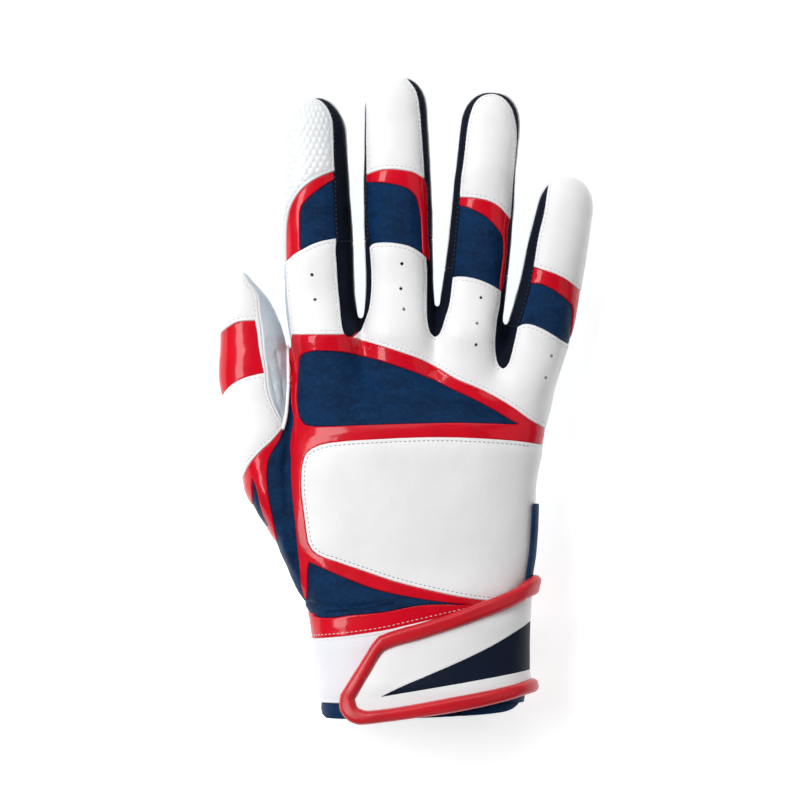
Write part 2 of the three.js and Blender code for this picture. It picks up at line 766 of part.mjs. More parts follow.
// Strap
const cuffSkin = (inner, outer) =>
  cut(handSolid(outer, outlineReach), handSolid(inner, 2 * outlineReach));
const between = (bottom, top) => column(frameRectangle, bottom, top);
const strapFloor = seamGap + hookPadThickness + seamGap;
const strapFace = strapFloor + strapThickness;
const strapRim = strapFace + strapRimRise;
const liftingPart = between(strapPivotHeight + seamGap / 2, highest);
const strapLayer = cuffSkin(strapFloor, strapFace).intersect(liftingPart);
const rimLayer = cuffSkin(strapFloor, strapRim).intersect(liftingPart);
const hookLayer = cuffSkin(seamGap, seamGap + hookPadThickness).intersect(liftingPart);
const strapFaceRegion = strapLayer.intersect(region(strapInnerPixels));
addPiece(
  'strap_rim',
  cut(rimLayer.intersect(region(strapOuterPixels)), ...around(strapInnerPixels)),
  materials.rubber,
);
addPiece('strap_inlay', strapLayer.intersect(region(strapInlayPixels)), materials.knit);
addPiece('strap_face', cut(strapFaceRegion, ...around(strapInlayPixels)), materials.leather);
addPiece('hook_pad', hookLayer.intersect(region(hookPadPixels)), materials.gusset);
addPiece(
  'strap_root',
  cuffSkin(seamGap, strapRim)
    .intersect(between(strapRootBottom, strapPivotHeight - seamGap / 2))
    .intersect(region(strapRootPixels)),
  materials.rubber,
);
addPiece(
  'side_tab',
  cuffSkin(seamGap, seamGap + sideTabThickness)
    .intersect(between(sideTabBottom, sideTabTop))
    .intersect(region(sideTabPixels)),
  materials.knit,
);

export default glove;
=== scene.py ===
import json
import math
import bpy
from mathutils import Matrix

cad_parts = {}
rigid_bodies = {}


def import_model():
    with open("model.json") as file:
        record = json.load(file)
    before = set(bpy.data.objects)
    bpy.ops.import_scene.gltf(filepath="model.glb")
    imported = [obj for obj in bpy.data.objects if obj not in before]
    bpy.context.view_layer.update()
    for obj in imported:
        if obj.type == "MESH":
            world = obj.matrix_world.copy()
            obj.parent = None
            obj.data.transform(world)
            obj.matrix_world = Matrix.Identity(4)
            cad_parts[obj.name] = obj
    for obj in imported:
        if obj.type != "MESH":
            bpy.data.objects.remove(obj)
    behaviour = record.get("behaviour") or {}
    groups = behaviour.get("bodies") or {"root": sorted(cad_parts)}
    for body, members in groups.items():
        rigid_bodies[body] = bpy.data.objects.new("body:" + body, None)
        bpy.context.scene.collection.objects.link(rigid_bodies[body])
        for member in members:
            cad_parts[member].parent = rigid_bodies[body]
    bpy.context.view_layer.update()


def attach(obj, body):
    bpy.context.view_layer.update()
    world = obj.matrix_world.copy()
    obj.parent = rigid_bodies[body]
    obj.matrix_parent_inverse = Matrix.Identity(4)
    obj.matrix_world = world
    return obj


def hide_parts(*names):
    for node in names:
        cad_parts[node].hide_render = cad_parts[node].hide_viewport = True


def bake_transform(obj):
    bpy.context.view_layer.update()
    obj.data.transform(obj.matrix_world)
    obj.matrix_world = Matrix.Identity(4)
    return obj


bl_info = {
    "name": "Batting Glove",
    "version": (1, 0, 0),
    "blender": (4, 5, 0),
    "location": "View3D > Sidebar > Glove",
    "description": "Builds the sewn panels, strap, stitching and finishes of a batting glove",
    "category": "Object",
}

import bpy
import numpy as np
from mathutils import Vector, kdtree

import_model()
MM = 0.001

# The plan of the glove, in pixels of the photograph that it was measured from
LEFT, RIGHT, TOP, BOTTOM = 218, 592, 76, 723
LENGTH, WIDTH = 222, 128
ACROSS = WIDTH / (RIGHT - LEFT)
ALONG = LENGTH / (BOTTOM - TOP)
MIDDLE = ((LEFT + RIGHT) / 2, (TOP + BOTTOM) / 2)

# Heights in millimetres: the seam along the sides, the strap's root and how much of the form the
# resting face cuts off
SIDE_SEAM = 9.0
ROOT_BOTTOM, PIVOT_SEAM = 5.0, 19.0
REST_DEPTH = 0.6

# Distances to outlines are exact within NEAR, and FAR stands for all that lie further off
FAR = 50.0
NEAR = 5.5

# How finely the skins are divided along outlines, in two rounds
GLOVE_FINENESS = (0.9, 0.3)
STRAP_FINENESS = (1.5, 0.5)

# Points this close to a cut lie on it, borders this close to a line or height follow it, and
# scraps with fewer faces than this are dropped
SNAP = 0.03
ON_OUTLINE, AT_HEIGHT = 0.08, 0.05
LEAST_FACES = 60

# The form: smoothing all over, then behind the knuckles above a height
SMOOTH_ROUNDS, KNUCKLE_ROUNDS = 5, 70
SMOOTHING = 0.5
KNUCKLE_FLOOR, KNUCKLE_ROW, KNUCKLE_COLUMN = 12, 338, 298

# The rows where the cuff is cut open, and beyond which the strap's skin isn't needed
CUFF_ROW, STRAP_ROW = 726, 470

# Heights between which the side tab lies, and over which the hook pad and all stitches lie
TAB_BOTTOM, TAB_TOP = 9.5, 22.0
PAD_BOTTOM, SEWN_BOTTOM = 19.3, 12.0

HAND = [
    # y, left, right, height
    (735, 320, 521, 35), (716, 320, 524, 35), (698, 318.5, 527, 35), (686, 317.5, 525.5, 35),
    (670, 315, 522, 34), (640, 311, 521.5, 33), (622, 309.5, 522.5, 33), (610, 306.5, 523, 33),
    (598, 300.5, 524, 33), (585, 295, 527, 32), (570, 288.5, 530, 31), (550, 284, 533, 31),
    (520, 280, 535, 31), (480, 281, 536.5, 31), (460, 283, 541, 31), (440, 287, 545, 31),
    (420, 288.5, 548, 29), (405, 289.5, 551.5, 27.5), (385, 291, 554, 25), (372, 294, 553, 20),
]
THUMB = [
    # y, left, right, height, roundness of the tip
    (596, 302, 320, 24, 1), (575, 291, 310, 24, 1), (562, 284.5, 304, 24, 1),
    (552, 279.8, 302, 24, 1), (543, 275.6, 301, 24, 1), (536, 271, 301, 24, 1),
    (524, 263.5, 301, 24, 1), (510, 254.8, 301, 24, 1), (500, 248, 300, 24, 1),
    (490, 243.8, 299, 24, 1), (482, 242.3, 298, 24, 1), (472, 240, 298, 24, 1),
    (458, 236, 297, 24, 1), (440, 232, 297, 24, 1), (421, 228, 296, 23, 1),
    (406, 224.3, 295, 22, 1), (391, 220, 294, 21, 1), (376, 218, 293, 20, 1),
    (361, 218.3, 290, 19.5, 1), (346, 219.5, 286, 18.5, 1), (330, 219.5, 281.3, 17.5, 1),
    (319, 219.5, 277, 17, 0.995), (310, 219.7, 273.3, 17, 0.97), (300, 221, 267.8, 17, 0.91),
    (292, 223, 262, 17, 0.84), (285, 226, 255, 17, 0.74), (279, 229.5, 250.5, 17, 0.6),
    (274, 233.5, 246, 17, 0.4), (271.5, 237, 241, 17, 0.16),
]
LIMBS = {
    # from the tip, width, height, shift
    "index": dict(
        tip=(316, 96), lean=0.038, length=40, hinge=122, reach=39.5, roundness=2.0, sway=2.0,
        rows=[(330, 70, 27.5, 5), (262, 75, 25, 3.5), (238, 72, 25, 0.5), (205, 70, 20, -3.2),
              (164, 70.5, 20, -3.6), (128, 70.5, 20, -4.1), (92, 68, 20, -4.2),
              (40, 64, 17, -3)]),
    "middle": dict(
        tip=(395, 76), lean=0.02, length=38, hinge=138, reach=39.5, roundness=2.3, sway=3.5,
        rows=[(345, 78, 27.5, 0), (280, 84, 25, 0), (252, 76, 25, 0), (215, 69, 20, 0.2),
              (176, 68.5, 20, 0.1), (138, 69, 20, 0.4), (100, 67.5, 20, 0),
              (38, 64, 17, 0)]),
    "ring": dict(
        tip=(493, 91), lean=-0.1, length=38, hinge=156, reach=37.5, roundness=2.3, sway=1.0,
        rows=[(335, 76, 27.5, 0), (275, 78, 25, -0.5), (242, 67, 25, 0.2), (206, 65, 20, 1.2),
              (170, 64, 20, 2), (122, 63, 20, 1.8), (98, 62, 20, 1.2), (74, 60.5, 20, 0.8),
              (38, 60.5, 17, 1)]),
    "little": dict(
        tip=(571, 176), lean=-0.19, length=36, hinge=134, reach=36.5, roundness=2.1, sway=0.5,
        rows=[(252, 58, 25, -9.5), (205, 63, 25, -7.5), (180, 64.5, 20, -4.8), (160, 65, 20, -2),
              (146, 65, 20, -0.5), (122, 63, 20, 0.4), (98, 61, 20, 0.5), (73, 60, 20, 0.4),
              (36, 56.5, 17, 0.6)]),
    "thumb": dict(tip=(244, 271), lean=0.08, hinge=80),
}
FINGERS = ("index", "middle", "ring", "little")
HAND_SQUARENESS, LIMB_SQUARENESS = 2.5, 2.2

# How far behind a fold its bending pieces begin, how far each bend runs to either side of its
# fold in pixels or, at the knuckles, in millimetres, and how high the folds lie
BEND_REAR, THUMB_REAR = 26, 130
FINGER_BEND, THUMB_BEND = 24, 28
KNUCKLE_BEND = (-8.0, 16.0)
LIMB_PIVOT, KNUCKLE_PIVOT = 6, 7.5
KNUCKLE_AXIS = ((288.8, 385), (575, 441))


def place(pixels):
    """Pixels of the photograph to millimetres in the part's plan."""
    p = np.asarray(pixels, float)
    return np.stack([(p[..., 0] - MIDDLE[0]) * ACROSS, (MIDDLE[1] - p[..., 1]) * ALONG], -1)


def across(column):
    """A column of the photograph as a place across the part."""
    return place((column, 0))[0]


def along(row):
    """A row of the photograph as a place along the part."""
    return place((0, row))[1]


def on_limb(limb, points):
    """Points of a limb, from their place across it and their distance from its tip, to pixels."""
    aside, back = np.asarray(points, float).T
    length = math.hypot(limb["lean"], 1)
    x = limb["tip"][0] + (back * limb["lean"] + aside) / length
    y = limb["tip"][1] + (back - aside * limb["lean"]) / length
    return np.stack([x, y], -1)


def spline(points, steps=6):
    """A smooth curve through the points."""
    p = np.asarray(points, float)
    last = len(p) - 1
    curve = []
    for step in range(steps * last + 1):
        i = min(step // steps, last - 1)
        t = step / steps - i
        p0, p1, p2, p3 = p[max(i - 1, 0)], p[i], p[i + 1], p[min(i + 2, last)]
        v0, v1 = (p2 - p0) / 2, (p3 - p1) / 2
        curve.append((2 * p1 - 2 * p2 + v0 + v1) * t**3
                     + (3 * p2 - 3 * p1 - 2 * v0 - v1) * t**2 + v0 * t + p1)
    return np.array(curve)


def outline(*stretches):
    """A closed plan outline in millimetres. A stretch of three or more points is a smooth curve."""
    parts = [spline(s) if len(s) > 2 else np.asarray(s, float) for s in stretches]
    loop = place(np.concatenate(parts))
    gaps = np.linalg.norm(loop - np.roll(loop, -1, 0), axis=1)
    return loop[gaps > 0.02]


# Outlines of the panels on the back of the hand
OUTLINES = {
    "back_panel": outline(
        [(311.5, 448.8), (322, 444.4), (338, 441.8), (369, 439.5), (440, 437), (507, 440),
         (545, 445), (580, 449)],
        [(580, 608), (530, 606)],
        [(500, 602), (455, 595), (400, 582), (363, 570), (336, 561), (321.8, 556), (313, 550),
         (308, 541)],
        [(306.6, 532), (304.5, 515), (302.3, 498), (301.4, 483), (302.4, 466.4), (305.5, 455),
         (311.5, 448.8)]),
    "knuckle_panel": outline(
        [(303.9, 353.3), (318, 351), (345, 352.5), (373, 359), (409, 370), (434, 379.5)],
        [(452, 389), (474, 399), (493, 409), (509, 418.5), (520, 424.5)],
        [(520, 424.5), (460, 422.5), (390, 424), (320, 426.4)],
        [(320, 426.4), (310, 425.8), (303.9, 423.8), (298.9, 416.9), (296.8, 406.6),
         (296.2, 393.4), (296.5, 381.7), (297.7, 364), (299.5, 356.7), (303.9, 353.3)]),
    "lower_panel": outline(
        [(309.3, 561.7), (319, 566), (334, 572.7), (351, 579.5), (380, 589.5), (425, 598.5),
         (470, 604)],
        [(470, 604), (425, 603.5), (385, 611), (350, 614.5), (333, 617), (319, 617.3)],
        [(319, 617.3), (314, 616), (311, 613), (290, 610)],
        [(290, 599), (306.2, 599)], [(307.1, 587), (307.4, 571), (309.3, 561.7)]),
    "hem": outline(
        [(290, 609), (310, 612.5), (319, 617), (333, 617), (350, 614.5), (385, 610.5),
         (425, 604), (470, 604)],
        [(640, 601), (640, 606)],
        [(500, 607), (470, 610), (440, 616.5), (420, 621), (405, 624.5), (390, 628),
         (376, 630.5), (345, 635), (313, 638), (290, 639)]),
    "back_frame": outline(
        [(284, 349), (300, 349)], [(300, 400), (490, 416)], [(521, 425.5), (545, 434)],
        [(640, 452), (640, 620)],
        [(306, 600), (305.3, 599.3), (302, 586.7), (299.8, 564.7), (297.6, 542.7),
         (295.4, 520.7), (293.2, 498.7), (291.7, 477), (291.6, 460), (291, 448), (291.6, 437),
         (293.4, 427), (294, 418), (292.3, 409), (290.8, 400), (290.3, 389)],
        [(289, 370), (284, 350)]),
    "knuckle_band": outline(
        [(284, 330), (343, 330)], [(344.5, 333), (347, 336), (350, 337), (353, 336), (356, 333)],
        [(366, 330), (500, 380)], [(545, 415), (640, 415)],
        [(640, 452), (545, 434)], [(521, 425.5), (490, 416)], [(490, 416), (300, 400)],
        [(300, 349), (284, 349)]),
    "side_panel": outline(
        [(289.7, 388), (288.4, 398), (287.2, 408), (285.8, 417), (284, 427), (280.4, 438.9),
         (273, 450.6), (268.5, 460), (266.8, 476.7), (268.3, 495.7), (270.5, 510.4),
         (273.4, 525), (276.3, 541)],
        [(200, 546), (200, 600)], [(305, 600), (312, 600)], [(312, 440), (300, 388)]),
    "thumb_gusset": outline([(284, 427), (225, 430)], [(225, 560), (280, 560)]),
    "thumb_sliver": outline(
        [(252.1, 477.5), (255, 485.5), (258, 497.2), (260.2, 508), (264.5, 519), (268, 526)],
        [(255, 540), (230, 506)], [(251.5, 506), (251.6, 495), (251.2, 485), (252.1, 477.5)]),
    "cuff_back": outline([(290, 612), (456, 612)], [(456, 730), (290, 730)]),
    "cuff_side": outline([(462, 600), (640, 600)], [(640, 730), (462, 730)]),
    "slit_cover": outline([(452, 600), (466, 600)], [(466, 716), (452, 716)]),
    "thumb_piping": outline(
        [(286.2, 380), (285.8, 390), (285, 405), (283.4, 418), (280.8, 429)],
        [(283.4, 430.5), (286.2, 419), (287.8, 405), (288.6, 390), (289, 380)]),
    "index_piping": outline([(285.6, 333), (286.2, 360), (286.2, 384)],
                            [(288.9, 384), (289.2, 360), (289.6, 333)]),
    "cuff_slit": outline([(456, 690), (462, 690)], [(462, 780), (456, 780)]),
    "binding": outline([(290, 702), (640, 702)], [(640, 790), (290, 790)]),
    "cuff_end": outline(
        [(290, 703), (314, 703.5), (318, 710.5), (323, 716), (333, 717.8), (400, 717),
         (460, 714.5), (495, 712), (511, 709), (520, 703), (527, 694), (540, 690), (640, 690)],
        [(640, 800), (290, 800)]),
    "loop_patch": outline([(385, 652), (440, 640)], [(440, 692), (364, 697)]),
    "hook_pad": outline([(388, 655), (437, 643)], [(437, 689), (370, 694)]),
    "strap_outer": outline(
        [(379, 634.6), (390, 630.5), (405, 626), (420, 622), (450, 612.5), (480, 601.5),
         (510, 590), (525, 583), (536, 576.5), (640, 525)],
        [(640, 666), (535, 691.5), (510, 698.5), (480, 705.5), (450, 711), (420, 715.5),
         (371, 722)],
        [(371, 722), (357, 722.5), (346, 717), (339.5, 706), (340.5, 692.5)],
        [(340.5, 692.5), (354, 671), (366.5, 651), (372.2, 642), (379, 634.6)]),
    "strap_inner": outline(
        [(387, 648), (396, 644.5), (420, 638), (450, 628.5), (480, 618), (510, 607),
         (525, 600), (536, 594), (640, 545)],
        [(640, 650), (536, 677), (510, 684), (480, 690.5), (450, 696), (420, 701.5),
         (390, 706.5), (367, 709)],
        [(367, 709), (358, 706), (354.5, 697)],
        [(354.5, 697), (368, 674), (380.5, 653), (387, 648)]),
    "strap_inlay": outline(
        [(381, 695), (405, 683), (435, 670.5), (465, 657.5), (495, 643), (525, 625.5),
         (536, 618), (640, 552)],
        [(640, 648), (533, 668.5), (381, 695)]),
    "strap_root": outline([(495, 579), (640, 579)], [(640, 690), (495, 690)]),
    "side_tab": outline(
        [(640, 506), (541, 504), (536, 500.5), (532, 503), (530, 512), (528.6, 530), (527, 545),
         (524.5, 560), (522.5, 574), (521.5, 584)],
        [(640, 584)]),
}

FINGER_LINES = {
    # cap, the part that trim and band share, the band's side of the trim
    "index": (
        ([(265, 60), (312, 60)],
         [(312.2, 97), (320.6, 100.6), (326.6, 106.6), (330.8, 115), (332.8, 123.4),
          (333.4, 139), (333.8, 157), (334.6, 171.5)],
         [(334.6, 171.5), (327.8, 173.8), (319.4, 177.4), (311, 182.2), (302.6, 188.8),
          (296.6, 196), (291.8, 203.8), (288.2, 214.6), (286.4, 229), (285.9, 247),
          (285.8, 261.5)],
         [(265, 261.5)]),
        ([(265, 150), (331, 150)], [(334.6, 180), (335.4, 225)],
         [(336.6, 238.6), (323, 241), (312.2, 244.6), (302.6, 249.4), (294.2, 254.2),
          (285.8, 261.5)], [(265, 261.5)]),
        ([(334.6, 179.8), (327.8, 183.4), (320.6, 188.2), (313.4, 193.6), (307.4, 199),
          (302, 205.6), (299.8, 213), (299.4, 223), (299.5, 235), (300, 262)],
         [(300, 280), (345, 280)], [(345, 178)])),
    "middle": (
        ([(366.7, 60), (398.5, 60)],
         [(399, 75), (404, 77.2), (408.3, 80.2), (415.7, 90.7), (419, 104), (421, 126.7),
          (423, 153), (424.4, 178.7)],
         [(424.4, 178.7), (415, 173.3), (405.7, 171), (392.3, 169.6), (379, 170.7),
          (366.7, 174.7)],
         [(366.3, 140), (366.3, 105)]),
        ([(366.3, 150), (419, 150)],
         [(424.4, 178.7), (427.2, 188), (428, 206.7), (428.6, 233), (429.5, 250), (430, 261.5)],
         [(430, 261.5), (425.7, 257.3), (419, 251.3), (408.3, 246), (395, 243.3),
          (381.7, 242.7), (372.8, 244), (369.7, 247.5)],
         [(366.6, 215), (366.3, 183)]),
        ([(360, 182), (375, 182.5), (385.7, 183.3), (397.7, 185.3), (408.3, 189),
          (413.7, 193.3), (417.7, 199.3), (420.3, 209.3), (421.7, 220), (422.3, 233.3),
          (423, 249.3), (424, 262)], [(424, 280), (355, 280)])),
    "ring": (
        ([(461.2, 180), (462, 174), (464, 160), (466.2, 140), (468, 126), (471, 113),
          (475.5, 102.5), (483, 96), (493, 94), (502, 97), (509, 103.5), (513.5, 112),
          (516.6, 126), (516.9, 140), (516, 152), (514.8, 164), (513.2, 180), (512, 197),
          (510.4, 219.5)],
         [(510.4, 219.5), (507, 214.8), (501, 208.2), (492.6, 202.8), (483, 199.8),
          (471, 198), (460, 197.4)]),
        ([(462.4, 170), (511, 170)],
         [(510.4, 219.5), (508.8, 228), (508.2, 240), (507.4, 254), (506.2, 268),
          (504.6, 280), (502.5, 291.8)],
         [(502.5, 291.8), (495, 286.8), (487.8, 283.2), (478.2, 279.6), (468.6, 277.4),
          (459, 276.6), (453, 277.4)],
         [(456, 240), (458.8, 208), (460, 197.4)]),
        ([(450, 203), (459, 205.6), (468.6, 208.2), (478.2, 212.4), (486.6, 217.2),
          (493.8, 223.8), (499.8, 230.4), (503.2, 236), (504.6, 244), (504.2, 256),
          (503, 268), (501.4, 280), (500.4, 294)], [(500, 310), (440, 310)])),
    "little": (
        ([(551, 150), (551.2, 179)],
         [(551.2, 179), (549, 186.6), (547.4, 195), (545.6, 207), (543.8, 216.6),
          (540.8, 228.6), (537.8, 243), (535.4, 257.4), (533.8, 266.8)],
         [(533.8, 266.8), (540.2, 269.2), (548.6, 271.8), (557, 274.8), (566.6, 279.6),
          (575, 285.6), (583, 292.5), (600, 303)], [(640, 303), (640, 150)]),
        ([(542, 246), (640, 246)], [(640, 385), (600, 366)],
         [(578, 349.5), (567.8, 343.8), (560.6, 339.6), (552.2, 334.2), (543.8, 329.4),
          (535.4, 325.8), (528.2, 324), (522.2, 324.6), (518, 327)],
         [(522, 316), (530.8, 283), (533.8, 266.8)]),
        ([(520, 280), (531.2, 283.2), (539, 283.8), (546.2, 286.2), (553.4, 289.8),
          (560.6, 294.6), (567.8, 300), (572.2, 304.8), (573.8, 310), (573.6, 318),
          (572.6, 328), (571, 345)], [(570, 380), (500, 380)])),
}
for _name, _lines in FINGER_LINES.items():
    for _part, _line in zip(("_cap", "_all", "_inner"), _lines):
        OUTLINES[_name + _part] = outline(*_line)
    _limb = LIMBS[_name]
    _rear = _limb["hinge"] + BEND_REAR
    OUTLINES[_name + "_reach"] = outline(
        on_limb(_limb, [(-_limb["reach"], -40), (_limb["reach"], -40)]),
        on_limb(_limb, [(_limb["reach"], _rear), (-_limb["reach"], _rear)]))

# The edge between the thumb and the index finger, and the thumb's seam towards it
WEB_EDGE = [(287.6, 346), (284.4, 332), (280, 315), (272, 290), (266, 262)]
THUMB_EDGE = [(266, 374), (267.2, 389), (271.6, 403.7), (278, 416.5), (283.6, 427)]
OUTLINES["index_base"] = outline(
    [(270, 232), (335, 232)],
    [(336.2, 241), (335.8, 252), (336.6, 262), (337.4, 276), (338.6, 292), (340, 306),
     (341, 318), (342.5, 328), (344.5, 334.8)],
    [(284, 334.8), (270, 262)])
OUTLINES["index_side"] = outline(
    [(265, 261.5), (285.8, 261.5)], [(286.6, 280), (288, 300), (290.4, 318), (291.6, 334)],
    [(289.5, 345), (265, 345)])
OUTLINES["cover"] = outline(
    [(372, 236), (424, 236)],
    [(425.8, 255), (426.8, 270), (427, 300), (427.3, 318), (428.8, 328), (431, 333.5),
     (435.3, 336.6), (439.5, 334), (442, 329), (445.5, 318), (449, 306), (451, 294),
     (453, 277.4)],
    [(457, 262), (500, 272)],
    [(501.6, 291), (500, 306), (497.5, 318), (496, 330), (495.2, 342), (495.8, 354),
     (498.5, 364), (503, 368.4), (507.8, 365), (511, 357), (514.5, 343), (518, 327)],
    [(530, 308), (575, 320)],
    [(640, 345), (640, 444)],
    [(550, 431), (530, 419.5), (516, 409.5), (501, 400), (481, 389.5), (457, 379.5), (441, 370)],
    [(441, 370), (422, 360), (393, 350), (365, 341.5), (352.5, 337.8)],
    [(352.5, 337.8), (358, 333.5), (362.5, 327), (367, 316), (369.8, 305), (371.3, 285),
     (370.7, 262), (369.7, 247.5)])
OUTLINES["index_middle"] = outline([(325, 190), (385, 190)], [(385, 350), (325, 350)])
OUTLINES["middle_ring"] = outline([(415, 190), (470, 190)], [(460, 350), (415, 350)])
OUTLINES["ring_little"] = outline([(490, 230), (540, 250)], [(530, 385), (480, 385)])
OUTLINES["thumb_band"] = outline(
    [(200, 344), (212, 338), (220.3, 332.7), (226.3, 328), (234.3, 323.3), (242.3, 321.3),
     (254.8, 320.6)],
    [(254.8, 320.6), (257, 332), (258.6, 345.3), (260.6, 356.7), (264, 373)],
    [(264, 373), (254, 375), (243.7, 378), (233.5, 383.1), (226.1, 389.7), (221.7, 396),
     (205, 418)])
OUTLINES["thumb_cap"] = outline(
    [(190, 240), (238, 240)],
    [(238.5, 270), (243.4, 276), (248.4, 283), (253, 289.5), (256.3, 297), (257.7, 310),
     (259.4, 320), (261.4, 334.7), (263.2, 353.3), (266.2, 374)],
    [(262, 371), (252, 345)], [(190, 352)])
OUTLINES["thumb_base"] = outline(
    [(190, 352), (262, 352)], [(264.2, 372), (266, 374)], THUMB_EDGE,
    [(283.6, 427), (278, 434), (271.4, 441.5), (261.7, 450.3), (251.4, 461.5), (244.8, 472.3),
     (240.5, 484), (236, 500)], [(190, 500)])
OUTLINES["thumb_inner"] = outline(
    [(238, 240), (262, 240)], WEB_EDGE[::-1], [(288.6, 365), (289.7, 388)],
    [(289.7, 388), (288.4, 398), (287.2, 408), (285.8, 417), (283.6, 427)],
    THUMB_EDGE[::-1], [(262, 374), (250, 345)], [(238, 300)])
OUTLINES["thumb_reach"] = outline(
    on_limb(LIMBS["thumb"], [(-50, -40), (45, -40)]), [(287.5, 335), (287.5, 385)],
    on_limb(LIMBS["thumb"], [(-60, THUMB_REAR)]))
OUTLINES["ahead"] = outline(
    [(287.5, 420.4), (287.5, 348)], WEB_EDGE, [(262, 240), (262, 20)], [(640, 20), (640, 489.4)])

# Air holes punched in the leather over the knuckles
AIR_HOLES = [(312, 275), (315, 300), (402, 264), (401, 289), (404, 310), (481, 298), (477, 324),
             (476, 345), (551, 356), (545, 378)]


def cut_air_holes(radius):
    """Adds the air holes' outlines."""
    turn = np.linspace(0, 2 * math.pi, 16, endpoint=False)
    circle = radius * np.stack([np.cos(turn), np.sin(turn)], -1)
    for number, centre in enumerate(AIR_HOLES):
        OUTLINES[f"air_hole_{number}"] = place(centre) + circle


class Noise:
    """Smooth random values on a lattice, the same on every run."""

    def __init__(self, seed):
        self.table = np.random.default_rng(seed).random(4096) * 2 - 1

    def at(self, points, size):
        p = points / size
        cell = np.floor(p).astype(np.int64)
        f = p - cell
        f = f * f * (3 - 2 * f)
        total = 0.0
        for corner in np.ndindex(2, 2, 2):
            c = cell + corner
            key = (c[:, 0] * 73856093 ^ c[:, 1] * 19349663 ^ c[:, 2] * 83492791) & 4095
            total = total + self.table[key] * np.where(corner, f, 1 - f).prod(1)
        return total


def section(centre, sideways, half_width, top, bottom, squareness, sides):
    """An oval ring, flat below, square on the direction in which its limb runs."""
    half = (top - bottom + REST_DEPTH) / 2
    angle = np.arange(sides) * 2 * math.pi / sides
    power = 2 / squareness
    side = np.sign(np.cos(angle)) * np.abs(np.cos(angle)) ** power * half_width
    up = np.sign(np.sin(angle)) * np.abs(np.sin(angle)) ** power * half
    return np.stack([centre[0] + sideways[0] * side, centre[1] + sideways[1] * side,
                     np.maximum(bottom, top - half + up)], -1)


def loft(rings):
    """A closed skin through rings that all have the same number of points."""
    sides, count = len(rings[0]), len(rings)
    here = np.arange((count - 1) * sides)
    nxt = here // sides * sides + (here + 1) % sides
    faces = [(a, a + sides, b + sides, b) for a, b in zip(here.tolist(), nxt.tolist())]
    faces.append(tuple(range(sides)))
    faces.append(tuple(range(count * sides - 1, (count - 1) * sides - 1, -1)))
    return np.concatenate(rings), faces


def hand_rings(offset=0.0, sides=96, steps=5):
    """The rings of the hand and the cuff, moved outwards by an offset."""
    rings = []
    for y, left, right, height in spline(HAND, steps):
        a, b = place((left, y)), place((right, y))
        rings.append(section((a + b) / 2, (1, 0), (b - a)[0] / 2 + offset, height + offset,
                             max(0.0, -offset), HAND_SQUARENESS, sides))
    return rings


def thumb_rings(sides=64, steps=3):
    """The rings of the thumb, which close in a rounded tip."""
    rings = []
    for y, left, right, height, round_tip in spline(THUMB, steps):
        a, b = place((left, y)), place((right, y))
        half, shrink = height / 2, min(round_tip, 1.0)
        rings.append(section(
            (a + b) / 2, (1, 0), (b - a)[0] / 2, half + half * shrink,
            max(0.0, half - half * shrink - REST_DEPTH * shrink), LIMB_SQUARENESS, sides))
    return rings


def limb_rings(limb, sides=64, steps=5):
    """The rings of a finger from its root to its rounded tip."""
    sideways = place(on_limb(limb, (1, 0))) - place(on_limb(limb, (0, 0)))
    sideways = sideways / np.linalg.norm(sideways)
    rows = [(*r, 1.0, 1.0) for r in spline(limb["rows"], steps)[:-1]]
    back, width, height, shift = limb["rows"][-1]
    power = limb["roundness"]
    for degrees in range(0, 89, 8):
        turn = math.radians(degrees)
        far = math.sin(turn)
        rows.append((back - limb["length"] * far, width, height, shift + limb["sway"] * far**4,
                     (1 - far**power) ** (1 / power), math.cos(turn)))
    rings = []
    for back, width, height, shift, narrow, flat in rows:
        half = height / 2
        rings.append(section(
            place(on_limb(limb, (shift, back))), sideways, width * ACROSS / 2 * narrow,
            half + half * flat, max(0.0, half - half * flat - REST_DEPTH * flat),
            LIMB_SQUARENESS, sides))
    return rings


def mesh_of(points, faces, name):
    """A mesh in metres."""
    mesh = bpy.data.meshes.new(name)
    mesh.from_pydata([tuple(p) for p in np.asarray(points).tolist()], [], faces)
    mesh.update()
    return mesh


def evaluated(thing):
    """The mesh that an object's modifiers make. The object goes."""
    mesh = bpy.data.meshes.new_from_object(
        thing.evaluated_get(bpy.context.evaluated_depsgraph_get()))
    bpy.data.objects.remove(thing)
    return mesh


def point_normals(points, faces):
    """Outward normals, the mean of the faces round each point."""
    a, b, c = (points[faces[:, k]] for k in range(3))
    face = np.cross(b - a, c - a)
    normals = np.zeros_like(points)
    for axis in range(3):
        for k in range(3):
            normals[:, axis] += np.bincount(faces[:, k], face[:, axis], len(points))
    return normals / np.maximum(np.linalg.norm(normals, axis=1), 1e-12)[:, None]


def relaxed(points, faces, rounds, factor):
    """The points moved towards their neighbours' mean."""
    pairs = np.concatenate([faces[:, [0, 1]], faces[:, [1, 2]], faces[:, [2, 0]]])
    pairs = np.concatenate([pairs, pairs[:, ::-1]])
    count = np.bincount(pairs[:, 0], minlength=len(points))[:, None]
    for _ in range(rounds):
        mean = np.stack([np.bincount(pairs[:, 0], points[pairs[:, 1], k], len(points))
                         for k in range(3)], -1) / count
        points = points + (mean - points) * factor
    return points


